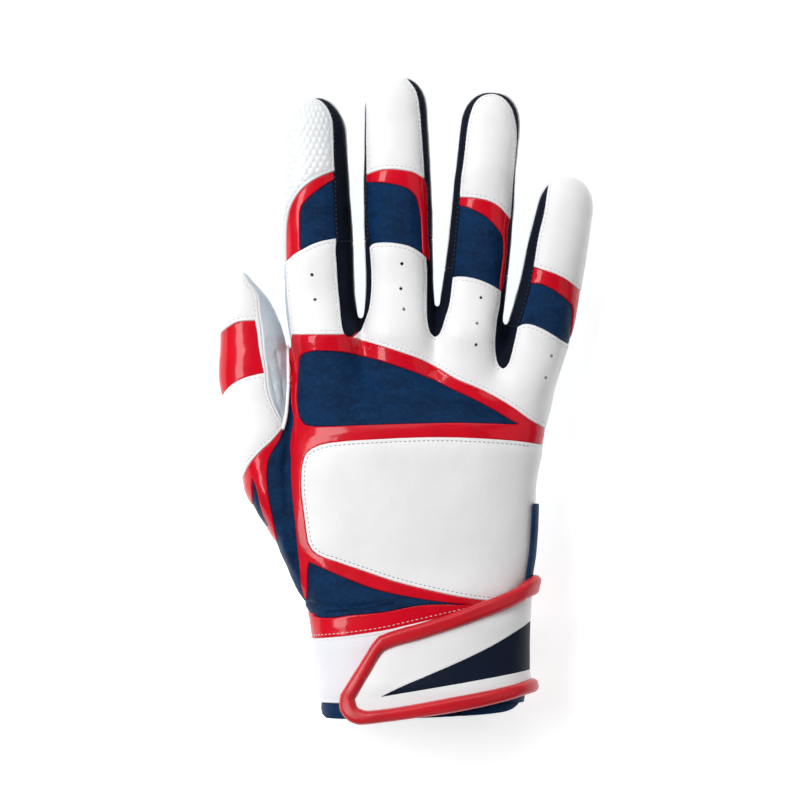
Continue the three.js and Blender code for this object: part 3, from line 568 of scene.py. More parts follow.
def split_faces(points, faces, flagged):
    """Splits every edge of the flagged faces, and the faces next to them so that all still meet.
    Returns the new faces and the pairs of points whose middles are added."""
    edges = np.sort(faces[:, [[0, 1], [1, 2], [2, 0]]], 2).reshape(-1, 2)
    keys, which = np.unique(edges[:, 0] * len(points) + edges[:, 1], return_inverse=True)
    which = which.reshape(-1, 3)
    mark = np.zeros(len(keys), bool)
    mark[which[flagged].ravel()] = True
    middle = np.full(len(keys), -1)
    middle[mark] = len(points) + np.arange(mark.sum())
    pairs = np.stack([keys[mark] // len(points), keys[mark] % len(points)], -1)
    code = mark[which] @ np.array([1, 2, 4])
    patterns = {
        0: ["abc"], 1: ["aic", "ibc"], 2: ["abj", "ajc"], 4: ["abk", "bck"],
        3: ["ibj", "aic", "ijc"], 6: ["kjc", "abj", "ajk"], 5: ["aik", "ibc", "ick"],
        7: ["aik", "ibj", "kjc", "ijk"],
    }
    result = []
    for value, triangles in patterns.items():
        rows = code == value
        corner = dict(zip("abcijk", [*faces[rows].T, *middle[which[rows]].T]))
        result += [np.stack([corner[k] for k in t], -1) for t in triangles]
    return np.concatenate(result), pairs


def signed_distance(xy, loop, order=None):
    """Distance from plan points to a closed outline, negative inside it, in millimetres. Beyond a
    finger's breadth from the outline it is only a large number of the right sign."""
    if order is None:
        order = np.argsort(xy[:, 1])
    heights = xy[order, 1]
    gap = np.full(len(xy), FAR)
    odd = np.zeros(len(xy), bool)
    for a, b in zip(loop, np.roll(loop, -1, 0)):
        low, high = min(a[1], b[1]), max(a[1], b[1])
        start, end = np.searchsorted(heights, (low - NEAR, high + NEAR))
        near = order[start:end]
        near = near[np.abs(xy[near, 0] - (a[0] + b[0]) / 2) < abs(a[0] - b[0]) / 2 + NEAR]
        run = b - a
        t = np.clip((xy[near] - a) @ run / (run @ run), 0, 1)
        far = np.hypot(xy[near, 0] - a[0] - t * run[0], xy[near, 1] - a[1] - t * run[1])
        gap[near] = np.minimum(gap[near], far)
        if low < high:
            start, end = np.searchsorted(heights, (low, high))
            level = order[start:end]
            crossing = a[0] + (xy[level, 1] - a[1]) / run[1] * run[0]
            odd[level[xy[level, 0] < crossing]] ^= True
    return np.where(odd, -gap, gap)


class Surface:
    """A smooth outer surface, with its distance to each outline at every point."""

    def __init__(self, points, faces, names):
        self.points, self.faces = points, faces
        order = np.argsort(points[:, 1])
        self.fields = {n: signed_distance(points[:, :2], OUTLINES[n], order) for n in names}
        self.normals = point_normals(points, faces)

    def refine(self, close, also=()):
        near = np.abs(self.points[:, 2] - SIDE_SEAM) < close
        above = self.points[:, 2] > SIDE_SEAM - 2 * close
        for name, field in self.fields.items():
            whole_height = name.endswith(("_reach", "ahead", "binding", "cuff_end", "cuff_slit"))
            near |= (np.abs(field) < close) & (above | whole_height)
        for name in also:
            near |= (self.fields[name] < 0) & above
        faces, pairs = split_faces(self.points, self.faces, near[self.faces].any(1))
        middle = self.points[pairs].mean(1)
        normals = self.normals[pairs].sum(1)
        normals /= np.linalg.norm(normals, axis=1)[:, None]
        # a middle follows the curve between its two points
        lean = self.points[pairs[:, 1]] - self.points[pairs[:, 0]]
        bow = ((self.normals[pairs[:, 0]] - self.normals[pairs[:, 1]]) * lean).sum(1) / -8
        middle += normals * bow[:, None]
        self.points = np.concatenate([self.points, middle])
        self.normals = np.concatenate([self.normals, normals])
        self.faces = faces
        order = np.argsort(middle[:, 1])
        for name, field in self.fields.items():
            self.fields[name] = np.concatenate(
                [field, signed_distance(middle[:, :2], OUTLINES[name], order)])

    def field(self, inside=(), outside=(), low=None, high=None):
        """Negative where a point is inside and outside those outlines, and between two heights."""
        f = np.full(len(self.points), -FAR)
        for name in inside:
            f = np.maximum(f, self.fields[name])
        for name in outside:
            f = np.maximum(f, -self.fields[name])
        if low is not None:
            f = np.maximum(f, low - self.points[:, 2])
        if high is not None:
            f = np.maximum(f, self.points[:, 2] - high)
        return f


def glove_form(voxel):
    """The hand, the fingers and the thumb run together into one skin of even triangles."""
    points, faces = [], []
    for rings in [hand_rings(), thumb_rings(), *(limb_rings(LIMBS[n]) for n in FINGERS)]:
        p, f = loft(rings)
        start = sum(len(x) for x in points)
        points.append(p)
        faces += [tuple(i + start for i in face) for face in f]
    form = bpy.data.objects.new("form", mesh_of(np.concatenate(points) * MM, faces, "form"))
    bpy.context.scene.collection.objects.link(form)
    remesh = form.modifiers.new("remesh", "REMESH")
    remesh.mode = "VOXEL"
    remesh.voxel_size = voxel
    triangles = form.modifiers.new("triangles", "TRIANGULATE")
    triangles.quad_method = "SHORTEST_DIAGONAL"
    solid = evaluated(form)
    p = np.zeros(len(solid.vertices) * 3, np.float32)
    solid.vertices.foreach_get("co", p)
    t = np.zeros(len(solid.loops), np.int32)
    solid.loops.foreach_get("vertex_index", t)
    bpy.data.meshes.remove(solid)
    return p.reshape(-1, 3).astype(float) / MM, t.reshape(-1, 3).astype(np.int64)


def glove_surface():
    """The outside of the whole glove as one smooth skin, open at the cuff."""
    sizes = bpy.context.scene.glove_sizes
    cut_air_holes(sizes.air_hole / MM)
    points, faces = glove_form(sizes.voxel)
    points = relaxed(points, faces, SMOOTH_ROUNDS, SMOOTHING)
    # the knuckles run together softly into the back of the hand
    plan = points[:, :2]
    behind = np.clip((along(KNUCKLE_ROW) - plan[:, 1]) / 9, 0, 1)
    behind *= np.clip((plan[:, 0] - across(KNUCKLE_COLUMN)) / 4, 0, 1)
    behind *= points[:, 2] > KNUCKLE_FLOOR
    points = relaxed(points, faces, KNUCKLE_ROUNDS, SMOOTHING * behind[:, None])
    points[:, 2] = np.maximum(points[:, 2], 0)
    keep = (points[faces][:, :, 1] > along(CUFF_ROW)).all(1)
    return fine_surface(points, faces[keep], [
        n for n in OUTLINES if not n.startswith(("strap_", "hook", "side_tab"))],
        GLOVE_FINENESS, also=("index_cap",))


def fine_surface(points, faces, names, fineness, also=()):
    """A surface of the points that the faces use, divided finely along its outlines."""
    used, faces = np.unique(faces, return_inverse=True)
    surface = Surface(points[used], faces.reshape(-1, 3), names)
    for close in fineness:
        surface.refine(close, also)
    return surface


def strap_surface(offset, names):
    """The skin of the cuff moved outwards, as what lies on it follows it."""
    points, faces = loft(hand_rings(offset, sides=220, steps=9))
    quads = np.array(faces[:-2])
    faces = np.concatenate([quads[:, [0, 1, 2]], quads[:, [0, 2, 3]]])
    keep = (points[faces][:, :, 1] < along(STRAP_ROW)).all(1)
    return fine_surface(points, faces[keep], names, STRAP_FINENESS)


def clip(surface, field):
    """The part of a surface where the field is negative, cut exactly along its zero line."""
    f = np.where(np.abs(field) < SNAP, 0.0, field)
    keep = f <= 0
    inside = keep[surface.faces]
    count = inside.sum(1)
    whole = surface.faces[count == 3]
    crossed = (count == 1) | (count == 2)
    cut, flags, count = surface.faces[crossed], inside[crossed], count[crossed]
    odd = np.where(count == 1, flags.argmax(1), flags.argmin(1))
    a, b, c = (cut[np.arange(len(cut)), (odd + k) % 3] for k in range(3))
    size = len(surface.points)
    keys = np.concatenate([np.minimum(a, b) * size + np.maximum(a, b),
                           np.minimum(a, c) * size + np.maximum(a, c)])
    unique, which = np.unique(keys, return_inverse=True)
    lo, hi = unique // size, unique % size
    t = (f[lo] / (f[lo] - f[hi]))[:, None]
    points, normals = (np.concatenate([v, v[lo] * (1 - t) + v[hi] * t])
                       for v in (surface.points, surface.normals))
    values = np.concatenate([f, np.zeros(len(unique))])
    target = size + np.arange(len(unique))
    target = np.where(keep[lo] & (f[lo] == 0), lo, np.where(keep[hi] & (f[hi] == 0), hi, target))
    ab, ac = target[which[:len(cut)]], target[which[len(cut):]]
    one, two = count == 1, count == 2
    faces = np.concatenate([
        whole,
        np.stack([a, ab, ac], -1)[one],
        np.stack([ab, b, c], -1)[two],
        np.stack([ab, c, ac], -1)[two]])
    fine = (faces != np.roll(faces, -1, 1)).all(1)
    faces = largest_islands(len(points), faces[fine])
    used, faces = np.unique(faces, return_inverse=True)
    normals = normals[used]
    normals /= np.linalg.norm(normals, axis=1)[:, None]
    return points[used], faces.reshape(-1, 3), normals, values[used]


def largest_islands(size, faces):
    """Drops scraps of a few faces that are cut off from the rest."""
    corners = faces.ravel()
    order = np.argsort(corners, kind="stable")
    used, starts = np.unique(corners[order], return_index=True)
    label = np.arange(size)
    while True:
        low = np.repeat(label[faces].min(1), 3)[order]
        new = label.copy()
        new[used] = np.minimum.reduceat(low, starts)
        new = np.minimum(new, new[new])
        if (new == label).all():
            break
        label = new
    groups, counts = np.unique(label[faces[:, 0]], return_counts=True)
    return faces[np.isin(label[faces[:, 0]], groups[counts >= LEAST_FACES])]


def rim_edges(size, faces):
    """The directed edges along the border of a patch."""
    edges = faces[:, [[0, 1], [1, 2], [2, 0]]].reshape(-1, 2)
    keys = edges[:, 0] * size + edges[:, 1]
    return edges[~np.isin(keys, edges[:, 1] * size + edges[:, 0])]


def edge_distance(points, faces, values, reach, flush=()):
    """How far each point of a patch lies from its border, up to a reach. A border that lies on a
    flush outline, or at a flush height, doesn't count: the next piece carries on without a step."""
    edges = rim_edges(len(points), faces)
    for line in flush:
        if isinstance(line, str):
            on_line = np.abs(signed_distance(points[:, :2], OUTLINES[line])) < ON_OUTLINE
        else:
            on_line = np.abs(points[:, 2] - line) < AT_HEIGHT
        edges = edges[~on_line[edges].all(1)]
    steps = np.linspace(0, 1, 4, endpoint=False)[:, None, None]
    marks = (points[edges[:, 0]] * (1 - steps) + points[edges[:, 1]] * steps).reshape(-1, 3)
    tree = kdtree.KDTree(len(marks))
    for i, mark in enumerate(marks.tolist()):
        tree.insert(mark, i)
    tree.balance()
    distance = np.full(len(points), reach)
    for i in np.flatnonzero(values > -reach):
        distance[i] = min(reach, tree.find(points[i])[2])
    distance[np.unique(edges)] = 0
    return distance


# How each look stands up from the skin: its height at the border, how far it rises within the
# rounding of its edge, the rounding, and the swell of its middle, in millimetres
RELIEF = {
    "leather": (-0.2, 0.55, 0.55, 0.25),
    "palm": (-0.25, 0.35, 0.6, 0.15),
    "knit": (-0.6, 0.3, 0.7, 0.5),
    "gusset": (-0.5, 0.25, 0.6, 0.3),
    "gloss": (-0.35, 0.42, 0.45, 0.15),
    "rim": (-0.5, 2.0, 1.9, 0.0),
    "piping": (0.0, 0.9, 0.5, 0.0),
    "face": (-0.45, 0.1, 0.4, 0.15),
    "inlay": (-0.4, 0.0, 0.4, 0.1),
    "pad": (-0.1, 0.1, 0.3, 0.0),
}
REACH = 5.0
GROOVE_WIDTH = 0.4
LEAST_INSIDE = 0.8
SHARP_DEGREES = 62
made = {}


def dress(surface, name, look, field, wall=None, extra=None, flush=()):
    """Cuts a piece from a surface and gives it a rounded border, a swell, soft folds and a wall."""
    sizes = bpy.context.scene.glove_sizes
    wall = wall or sizes.wall / MM
    points, faces, normals, values = clip(surface, field)
    distance = edge_distance(points, faces, values, REACH, flush)
    base, lift, rounding, swell = RELIEF[look]
    near = np.clip(distance / rounding, 0, 1)
    height = base + lift * np.sqrt(1 - (1 - near) ** 2)
    middle = np.clip(distance / REACH, 0, 1)
    height += swell * middle * middle * (3 - 2 * middle)
    if look == "leather":
        groove = (distance - sizes.stitch_inset / MM) / GROOVE_WIDTH
        height -= sizes.stitch_groove / MM * np.exp(-(groove**2))
    height += folds(points, look)
    relief = np.zeros(len(points)) if extra is None else extra(points, distance)
    height += relief
    outer = points + normals * height[:, None]
    outer[:, 2] = np.maximum(outer[:, 2], 0.0)
    inner = points - normals * wall
    inner[:, 2] = np.maximum(inner[:, 2], min(wall, LEAST_INSIDE))
    size = len(points)
    a, b = rim_edges(size, faces).T
    solid = np.concatenate([
        faces, faces[:, ::-1] + size,
        np.stack([b, a, a + size], -1), np.stack([b, a + size, b + size], -1)])
    mesh = mesh_of(np.concatenate([outer, inner]) * MM, solid.tolist(), name)
    rest = mesh.attributes.new("rest", "FLOAT_VECTOR", "POINT")
    rest.data.foreach_set(
        "vector", (np.concatenate([points, inner]) * MM).astype(np.float32).ravel())
    for key, values in (("edge", distance), ("relief", relief)):
        attribute = mesh.attributes.new(key, "FLOAT", "POINT")
        attribute.data.foreach_set(
            "value", np.concatenate([values, np.zeros(size)]).astype(np.float32))
    mesh.shade_smooth()
    mesh.set_sharp_from_angle(angle=math.radians(SHARP_DEGREES))
    piece = bpy.data.objects.new(name, mesh)
    bpy.context.scene.collection.objects.link(piece)
    made[name] = dict(points=outer, faces=faces, distance=distance, normals=normals)
    return piece


# The embossed dots are laid out round a drum along the finger, whose radius and axis height these
# are. A dot's radius is a share of the pitch, and the dots fade out before the cap's border.
DRUM_RADIUS, DRUM_AXIS = 11.0, 8.5
DOT_SHARE = 0.4


def embossing(limb):
    """A honeycomb of raised dots round a fingertip, as heights for its skin."""
    sizes = bpy.context.scene.glove_sizes
    pitch, height = sizes.dot_pitch / MM, sizes.dot_height / MM
    tip, back = place(on_limb(limb, (0, 0))), place(on_limb(limb, (0, 100)))
    lengthwise = (back - tip) / np.linalg.norm(back - tip)

    def heights(points, distance):
        plan = points[:, :2] - tip
        v = plan @ lengthwise
        aside = plan[:, 0] * lengthwise[1] - plan[:, 1] * lengthwise[0]
        u = DRUM_RADIUS * np.arctan2(aside, np.maximum(points[:, 2] - DRUM_AXIS, 0.5))
        row = pitch * math.sqrt(3)
        best = np.full(len(points), FAR)
        for shift in (0.0, 0.5):
            du = (u / pitch + shift + 0.5) % 1 - 0.5
            dv = (v / row + shift + 0.5) % 1 - 0.5
            best = np.minimum(best, np.hypot(du * pitch, dv * row))
        dot = np.clip(1 - (best / (DOT_SHARE * pitch)) ** 2, 0, 1)
        return height * np.sqrt(dot) * np.clip(distance / 1.6 - 0.6, 0, 1)
    return heights


def creases(lines, depth, width):
    """Soft grooves along lines drawn in the plan, as heights for a skin."""
    def heights(points, distance):
        away = np.full(len(points), FAR)
        for line in lines:
            curve = place(spline(line))
            for a, b in zip(curve, curve[1:]):
                t = np.clip((points[:, :2] - a) @ (b - a) / ((b - a) @ (b - a)), 0, 1)
                away = np.minimum(away, np.linalg.norm(
                    points[:, :2] - a - t[:, None] * (b - a), axis=1))
        return -depth * np.exp(-((away / width) ** 2)) * np.clip(distance / 1.5, 0, 1)
    return heights


def sunk(depth):
    """A piece set lower all over, as heights for its skin."""
    return lambda points, distance: np.full(len(points), -depth)


def seam_line(name, inset, where):
    """The line that runs a set way inside a piece's border: its points, edges and normals."""
    piece = made[name + "_piece"]
    points, faces, distance = piece["points"], piece["faces"], piece["distance"]
    beyond = distance > inset
    sides = faces[beyond[faces].any(1) & ~beyond[faces].all(1)][:, [[0, 1], [1, 2], [2, 0]]]
    crossed = beyond[sides[..., 0]] != beyond[sides[..., 1]]
    pairs = np.sort(sides[crossed], 1)
    keys, which = np.unique(pairs[:, 0] * len(points) + pairs[:, 1], return_inverse=True)
    a, b = keys // len(points), keys % len(points)
    t = ((inset - distance[a]) / (distance[b] - distance[a]))[:, None]
    line = points[a] * (1 - t) + points[b] * t
    normals = piece["normals"][a] * (1 - t) + piece["normals"][b] * t
    edges = which.reshape(-1, 2)
    edges = edges[where(line)[edges].all(1) & (edges[:, 0] != edges[:, 1])]
    return line, edges, normals


WANDER = 0.07


class Nodes:
    """A node tree that is filled node by node."""

    def __init__(self, tree):
        self.tree = tree

    def fill(self, node, inputs):
        """Links an input to each socket that is given, and sets it to each value."""
        for key, value in inputs.items():
            if isinstance(value, bpy.types.NodeSocket):
                self.tree.links.new(value, node.inputs[key])
            else:
                node.inputs[key].default_value = value

    def node(self, kind, inputs=None, **settings):
        node = self.tree.nodes.new(kind)
        for key, value in settings.items():
            setattr(node, key, value)
        self.fill(node, inputs or {})
        return node

    def out(self, kind, inputs=None, **settings):
        return self.node(kind, inputs, **settings).outputs[0]


def stitch_tree():
    """Geometry nodes that set a row of stitches along seam lines."""
    tree = bpy.data.node_groups.new("Stitches along seams", "GeometryNodeTree")
    for name, kind in (("Seams", "Geometry"), ("Pitch", "Float"), ("Length", "Float"),
                       ("Thickness", "Float"), ("Wander", "Float"), ("Seed", "Int"),
                       ("Thread", "Material")):
        tree.interface.new_socket(name, in_out="INPUT", socket_type="NodeSocket" + kind)
    tree.interface.new_socket("Stitches", in_out="OUTPUT", socket_type="NodeSocketGeometry")
    n = Nodes(tree)
    given = n.node("NodeGroupInput").outputs
    curve = n.out("GeometryNodeMeshToCurve", {"Mesh": given["Seams"]})
    evenly = n.out("GeometryNodeResampleCurve", {"Curve": curve, "Length": given["Pitch"]},
                   mode="LENGTH")
    chance = n.out("FunctionNodeRandomValue", {
        0: (-1, -1, -1), 1: (1, 1, 1), "Seed": given["Seed"]}, data_type="FLOAT_VECTOR")
    astray = n.out("ShaderNodeVectorMath", {0: chance, "Scale": given["Wander"]},
                   operation="SCALE")
    ahead = n.out("ShaderNodeVectorMath", {0: n.out("GeometryNodeInputTangent"), 1: astray},
                  operation="ADD")
    turn = n.out("FunctionNodeAlignRotationToVector", {"Vector": ahead}, axis="X")
    outward = n.out("GeometryNodeInputNamedAttribute", {"Name": "outward"},
                    data_type="FLOAT_VECTOR")
    upright = n.out("FunctionNodeAlignRotationToVector", {"Rotation": turn, "Vector": outward},
                    axis="Z", pivot_axis="X")
    size = n.out("ShaderNodeCombineXYZ", {
        "X": given["Length"], "Y": given["Thickness"], "Z": given["Thickness"]})
    one = n.out("GeometryNodeMeshUVSphere", {"Segments": 6, "Rings": 4, "Radius": 0.5})
    row = n.out("GeometryNodeInstanceOnPoints", {
        "Points": evenly, "Instance": one, "Rotation": upright, "Scale": size})
    real = n.out("GeometryNodeRealizeInstances", {0: row})
    sewn = n.out("GeometryNodeSetMaterial", {"Geometry": real, "Material": given["Thread"]})
    n.node("NodeGroupOutput", {"Stitches": sewn})
    return tree


def stitch(name, thread, seams, body, bend=None, seed=1, thick=1.0):
    """One body's stitches in one thread. Each seam is a piece, an inset and where it is sewn."""
    sizes = bpy.context.scene.glove_sizes
    lines, edges, normals, count = [], [], [], 0
    for piece, inset, where in seams:
        line, pairs, outward = seam_line(piece, inset, where)
        lines.append(line)
        edges.append(pairs + count)
        normals.append(outward)
        count += len(line)
    edges = np.concatenate(edges)
    used, edges = np.unique(edges, return_inverse=True)
    mesh = bpy.data.meshes.new(name + " seams")
    mesh.from_pydata(
        (np.concatenate(lines)[used] * MM).tolist(), edges.reshape(-1, 2).tolist(), [])
    outward = mesh.attributes.new("outward", "FLOAT_VECTOR", "POINT")
    outward.data.foreach_set("vector", np.concatenate(normals)[used].astype(np.float32).ravel())
    seam = bpy.data.objects.new(name + " seams", mesh)
    bpy.context.scene.collection.objects.link(seam)
    tree = bpy.data.node_groups.get("Stitches along seams") or stitch_tree()
    modifier = seam.modifiers.new("stitches", "NODES")
    modifier.node_group = tree
    values = {"Pitch": sizes.stitch_pitch, "Length": sizes.stitch_length,
              "Thickness": sizes.thread * thick, "Wander": WANDER, "Seed": seed,
              "Thread": bpy.data.materials[thread]}
    for item in tree.interface.items_tree:
        if item.in_out == "INPUT" and item.name in values:
            modifier[item.identifier] = values[item.name]
    rows = evaluated(seam)
    rows.shade_smooth()
    row = bpy.data.objects.new(name, rows)
    bpy.context.scene.collection.objects.link(row)
    move_with(row, body, bend)


BROAD, FINE, CREASE = Noise(3), Noise(11), Noise(23)


def folds(points, look):
    """Soft unevenness of a filled glove, the same across all seams, and creases of thin leather."""
    height = 0.16 * BROAD.at(points, 14.0) + 0.06 * FINE.at(points, 5.0)
    if look == "palm":
        stretched = points * np.array([1.0, 0.55, 1.0])
        ridge = 1 - np.abs(CREASE.at(stretched, 4.5))
        calm = np.clip((SIDE_SEAM + 1 - points[:, 2]) / 3, 0, 1)
        calm[points[:, 0] < across(281)] = 1
        height += (0.22 * ridge**3 + 0.1 * FINE.at(points, 2.2)) * calm
    return height


PAD_LIFT = 0.9
skins = {}


def skin(kind):
    """The surfaces that pieces are cut from, made once."""
    sizes = bpy.context.scene.glove_sizes
    if kind not in skins:
        if kind == "glove":
            skins[kind] = glove_surface()
        else:
            lift, names = {
                "strap": (sizes.strap_lift / MM,
                          ["strap_outer", "strap_inner", "strap_inlay", "strap_root"]),
                "tab": (sizes.tab_lift / MM, ["side_tab"]),
                "pad": (PAD_LIFT, ["hook_pad"]),
            }[kind]
            skins[kind] = strap_surface(lift, names)
    return skins[kind]


def upper(inside, outside=()):
    """The glove's back, above the side seam, inside and outside those outlines."""
    return skin("glove").field(inside, outside, low=SIDE_SEAM)


def lower(inside=(), outside=()):
    """The glove's palm side, below the side seam, inside and outside those outlines."""
    return skin("glove").field(inside, outside, high=SIDE_SEAM)


def move_with(piece, body, bend):
    """A piece rides on one body, or, when a bend is given, stays unattached with its placement
    baked into its mesh.
    """
    if bend is None:
        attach(piece, body)
    else:
        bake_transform(piece)


def finish_piece(piece, node, finish, body, bend=None):
    """Gives a piece its finish, puts it in place of its CAD piece and sets what it moves with."""
    piece.data.materials.append(bpy.data.materials[finish])
    move_with(piece, body, bend)
    if node:
        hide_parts(node)


def metres(xy, z):
    """A point in metres from its place in the plan and its height in millimetres."""
    return (xy[0] * MM, xy[1] * MM, z * MM)


def limb_bend(name):
    """The bodies on both sides of a finger's or the thumb's fold, and where its bend runs."""
    limb, root, half = LIMBS[name], "knuckles", FINGER_BEND
    if name == "thumb":
        root, half = "hand", THUMB_BEND
    start, end = (place(on_limb(limb, (0, limb["hinge"] + step))) for step in (half, -half))
    return root, name + "_tip", metres(start, LIMB_PIVOT), metres(end, LIMB_PIVOT)


def knuckle_bend():
    """The bodies on both sides of the knuckles, and where their bend runs."""
    a, b = place(KNUCKLE_AXIS)
    run = (b - a) / np.linalg.norm(b - a)
    ahead = np.array([-run[1], run[0]])
    pivot = (a + b) / 2
    start, end = pivot + ahead * KNUCKLE_BEND[0], pivot + ahead * KNUCKLE_BEND[1]
    return "hand", "knuckles", metres(start, KNUCKLE_PIVOT), metres(end, KNUCKLE_PIVOT)


# The strap bends up from its root, in metres
STRAP_BEND = ("hand", "strap", (0.046, -0.085, 0.015), (0.046, -0.085, 0.024))


def linear(colour):
    """A colour given as 0 to 255 as the linear colour that shaders take."""
    return tuple((c / 12.92 if c < 0.04045 else ((c + 0.055) / 1.055) ** 2.4)
                 for c in (v / 255 for v in colour)) + (1.0,)


class Finish(Nodes):
    """A material and its nodes."""

    def __init__(self, name):
        self.material = bpy.data.materials.new(name)
        self.material.use_nodes = True
        super().__init__(self.material.node_tree)
        self.tree.nodes.clear()
        self.shader = self.node("ShaderNodeBsdfPrincipled")
        self.node("ShaderNodeOutputMaterial", {"Surface": self.shader.outputs[0]})

    def set(self, **values):
        self.fill(self.shader, {key.replace("_", " "): v for key, v in values.items()})

    def rest(self):
        """Where each point lies on the unfolded glove, in metres."""
        return self.node("ShaderNodeAttribute", attribute_name="rest").outputs["Vector"]

    def attribute(self, name):
        return self.node("ShaderNodeAttribute", attribute_name=name).outputs["Fac"]

    def stretched(self, scale, turn=0.0):
        return self.out("ShaderNodeMapping", {
            "Vector": self.rest(), "Scale": scale, "Rotation": (0, 0, turn)})

    def noise(self, vector, scale, detail=2.0, roughness=0.5):
        return self.out("ShaderNodeTexNoise", {
            "Vector": vector, "Scale": scale, "Detail": detail, "Roughness": roughness})

    def cells(self, vector, scale):
        return self.out("ShaderNodeTexVoronoi", {"Vector": vector, "Scale": scale})

    def product(self, a, b):
        return self.out("ShaderNodeMath", {0: a, 1: b}, operation="MULTIPLY")

    def ramp(self, value, low, high, start=0.0, end=1.0):
        return self.out("ShaderNodeMapRange", {
            "Value": value, "From Min": low, "From Max": high, "To Min": start, "To Max": end})

    def mix(self, factor, a, b):
        return self.node("ShaderNodeMix", {0: factor, 6: a, 7: b}, data_type="RGBA").outputs[2]

    def blotched(self, tone, colour, factor, lift=0.0, low=0.3, high=0.7):
        """A colour that passes into a lighter or darker one where the tone rises."""
        return self.mix(
            self.ramp(tone, low, high), tinted(colour), tinted(colour, factor, lift))

    def bump(self, *layers):
        """Layers of height, each with how many metres it stands for."""
        normal = None
        for height, distance in layers:
            node = self.node("ShaderNodeBump", {"Height": height, "Distance": distance})
            if normal is not None:
                self.fill(node, {"Normal": normal})
            normal = node.outputs[0]
        self.set(Normal=normal)


def tinted(colour, factor=1.0, lift=0.0):
    """A colour made lighter or darker, as a node colour."""
    return tuple(min(1.0, c * factor + lift) for c in colour) + (1.0,)


def white_leather(name, colour, silver=0.0):
    """Fine-grained leather. A silvery one has painted shade: it is darker in the hollows between
    its embossed dots.
    """
    f = Finish(name)
    rest = f.rest()
    tone = f.noise(rest, 60.0, 4.0)
    shade = f.blotched(tone, colour, 0.95, low=0.35)
    if silver:
        # painted shade: the hollows between the embossed dots get a darker copy of the colour
        dots = f.ramp(f.attribute("relief"), 0.0, 0.12)
        shade = f.mix(dots, tinted(colour, 0.88), shade)
        wear = f.ramp(f.noise(rest, 300.0, 2.0), 0.4, 0.6)
        shade = f.mix(f.product(wear, 0.12), shade, tinted(colour, 0.86))
    f.set(Base_Color=shade, Roughness=f.ramp(tone, 0.3, 0.7, 0.45, 0.58), Metallic=silver,
          Specular_IOR_Level=0.35)
    f.bump((f.cells(rest, 1500.0), 0.00004), (f.noise(rest, 500.0, 3.0), 0.00006),
           (tone, 0.0005))


def palm_leather(colour, piping):
    """Thin soft leather, paler where its edge is turned."""
    f = Finish("Palm leather")
    rest = f.rest()
    tone = f.noise(rest, 90.0, 5.0, 0.6)
    turned = f.ramp(f.attribute("edge"), 0.35, 0.9, 1.0, 0.0)
    shade = f.mix(turned, f.blotched(tone, colour, 0.78), tinted(piping))
    f.set(Base_Color=shade, Roughness=0.62)
    f.bump((f.noise(rest, 900.0, 3.0), 0.00008), (tone, 0.0010))


def navy_knit(colour):
    """Stretch knit with rows of loops, flecks, and darker patches that are painted in for the
    knit's uneven sheen.
    """
    f = Finish("Navy knit")
    rest = f.rest()
    rows = f.node("ShaderNodeTexWave", {
        "Vector": f.stretched((1, 1, 1), 0.5), "Scale": 820.0, "Distortion": 1.5, "Detail": 2.0,
        "Detail Scale": 2.0}, wave_type="BANDS", bands_direction="X").outputs["Fac"]
    tone = f.noise(rest, 45.0, 3.0)
    amount = f.product(rows, f.ramp(tone, 0.3, 0.7, 0.15, 0.6))
    shade = f.mix(amount, tinted(colour), tinted(colour, 1.7, 0.002))
    # painted light: darker patches at random stand in for the knit's uneven sheen
    stretch = f.noise(f.stretched((1, 2.2, 1), 0.3), 90.0, 3.0, 0.6)
    shade = f.mix(f.ramp(stretch, 0.42, 0.66, 0.0, 0.75), shade, tinted(colour, 0.55))
    flecks = f.ramp(f.noise(rest, 700.0, 2.0), 0.5, 0.75, 0.0, 0.35)
    shade = f.mix(flecks, shade, tinted(colour, 2.2, 0.006))
    f.set(Base_Color=shade, Roughness=0.5, Specular_IOR_Level=0.1, Sheen_Weight=0.04,
          Sheen_Roughness=0.35, Sheen_Tint=linear((70, 130, 200)))
    f.bump((rows, 0.00007), (f.cells(rest, 1500.0), 0.00006), (tone, 0.001))


def plain_finish(name, colour, second, tone, grain, lift=0.0, woven=False, **shader):
    """A finish of one colour in two tones. The tone and the grain, which is woven or smooth, each
    have a scale and a height in metres."""
    f = Finish(name)
    rest = f.rest()
    blotches = f.noise(rest, tone[0], 3.0)
    fine = f.cells(rest, grain[0]) if woven else f.noise(rest, grain[0], 2.0)
    f.set(Base_Color=f.blotched(blotches, colour, second, lift), **shader)
    f.bump((fine, grain[1]), (blotches, tone[1]))


def thread(name, colour):
    """Spun sewing thread."""
    f = Finish(name)
    fibre = f.noise(f.node("ShaderNodeTexCoord").outputs["Object"], 4000.0, 2.0)
    f.set(Base_Color=f.blotched(fibre, colour, 0.7), Roughness=0.7)
    f.bump((fibre, 0.00004))


def length(name, description, default):
    return bpy.props.FloatProperty(
        name=name, description=description, default=default, min=0.0, max=0.01, precision=5,
        subtype="DISTANCE", unit="LENGTH")


def colour(name, description, default):
    return bpy.props.FloatVectorProperty(
        name=name, description=description, default=linear(default)[:3], size=3, min=0.0, max=1.0,
        subtype="COLOR")


def power(name, description, default):
    return bpy.props.FloatProperty(
        name=name, description=description, default=default, min=0.0, max=50.0, subtype="POWER",
        unit="POWER")


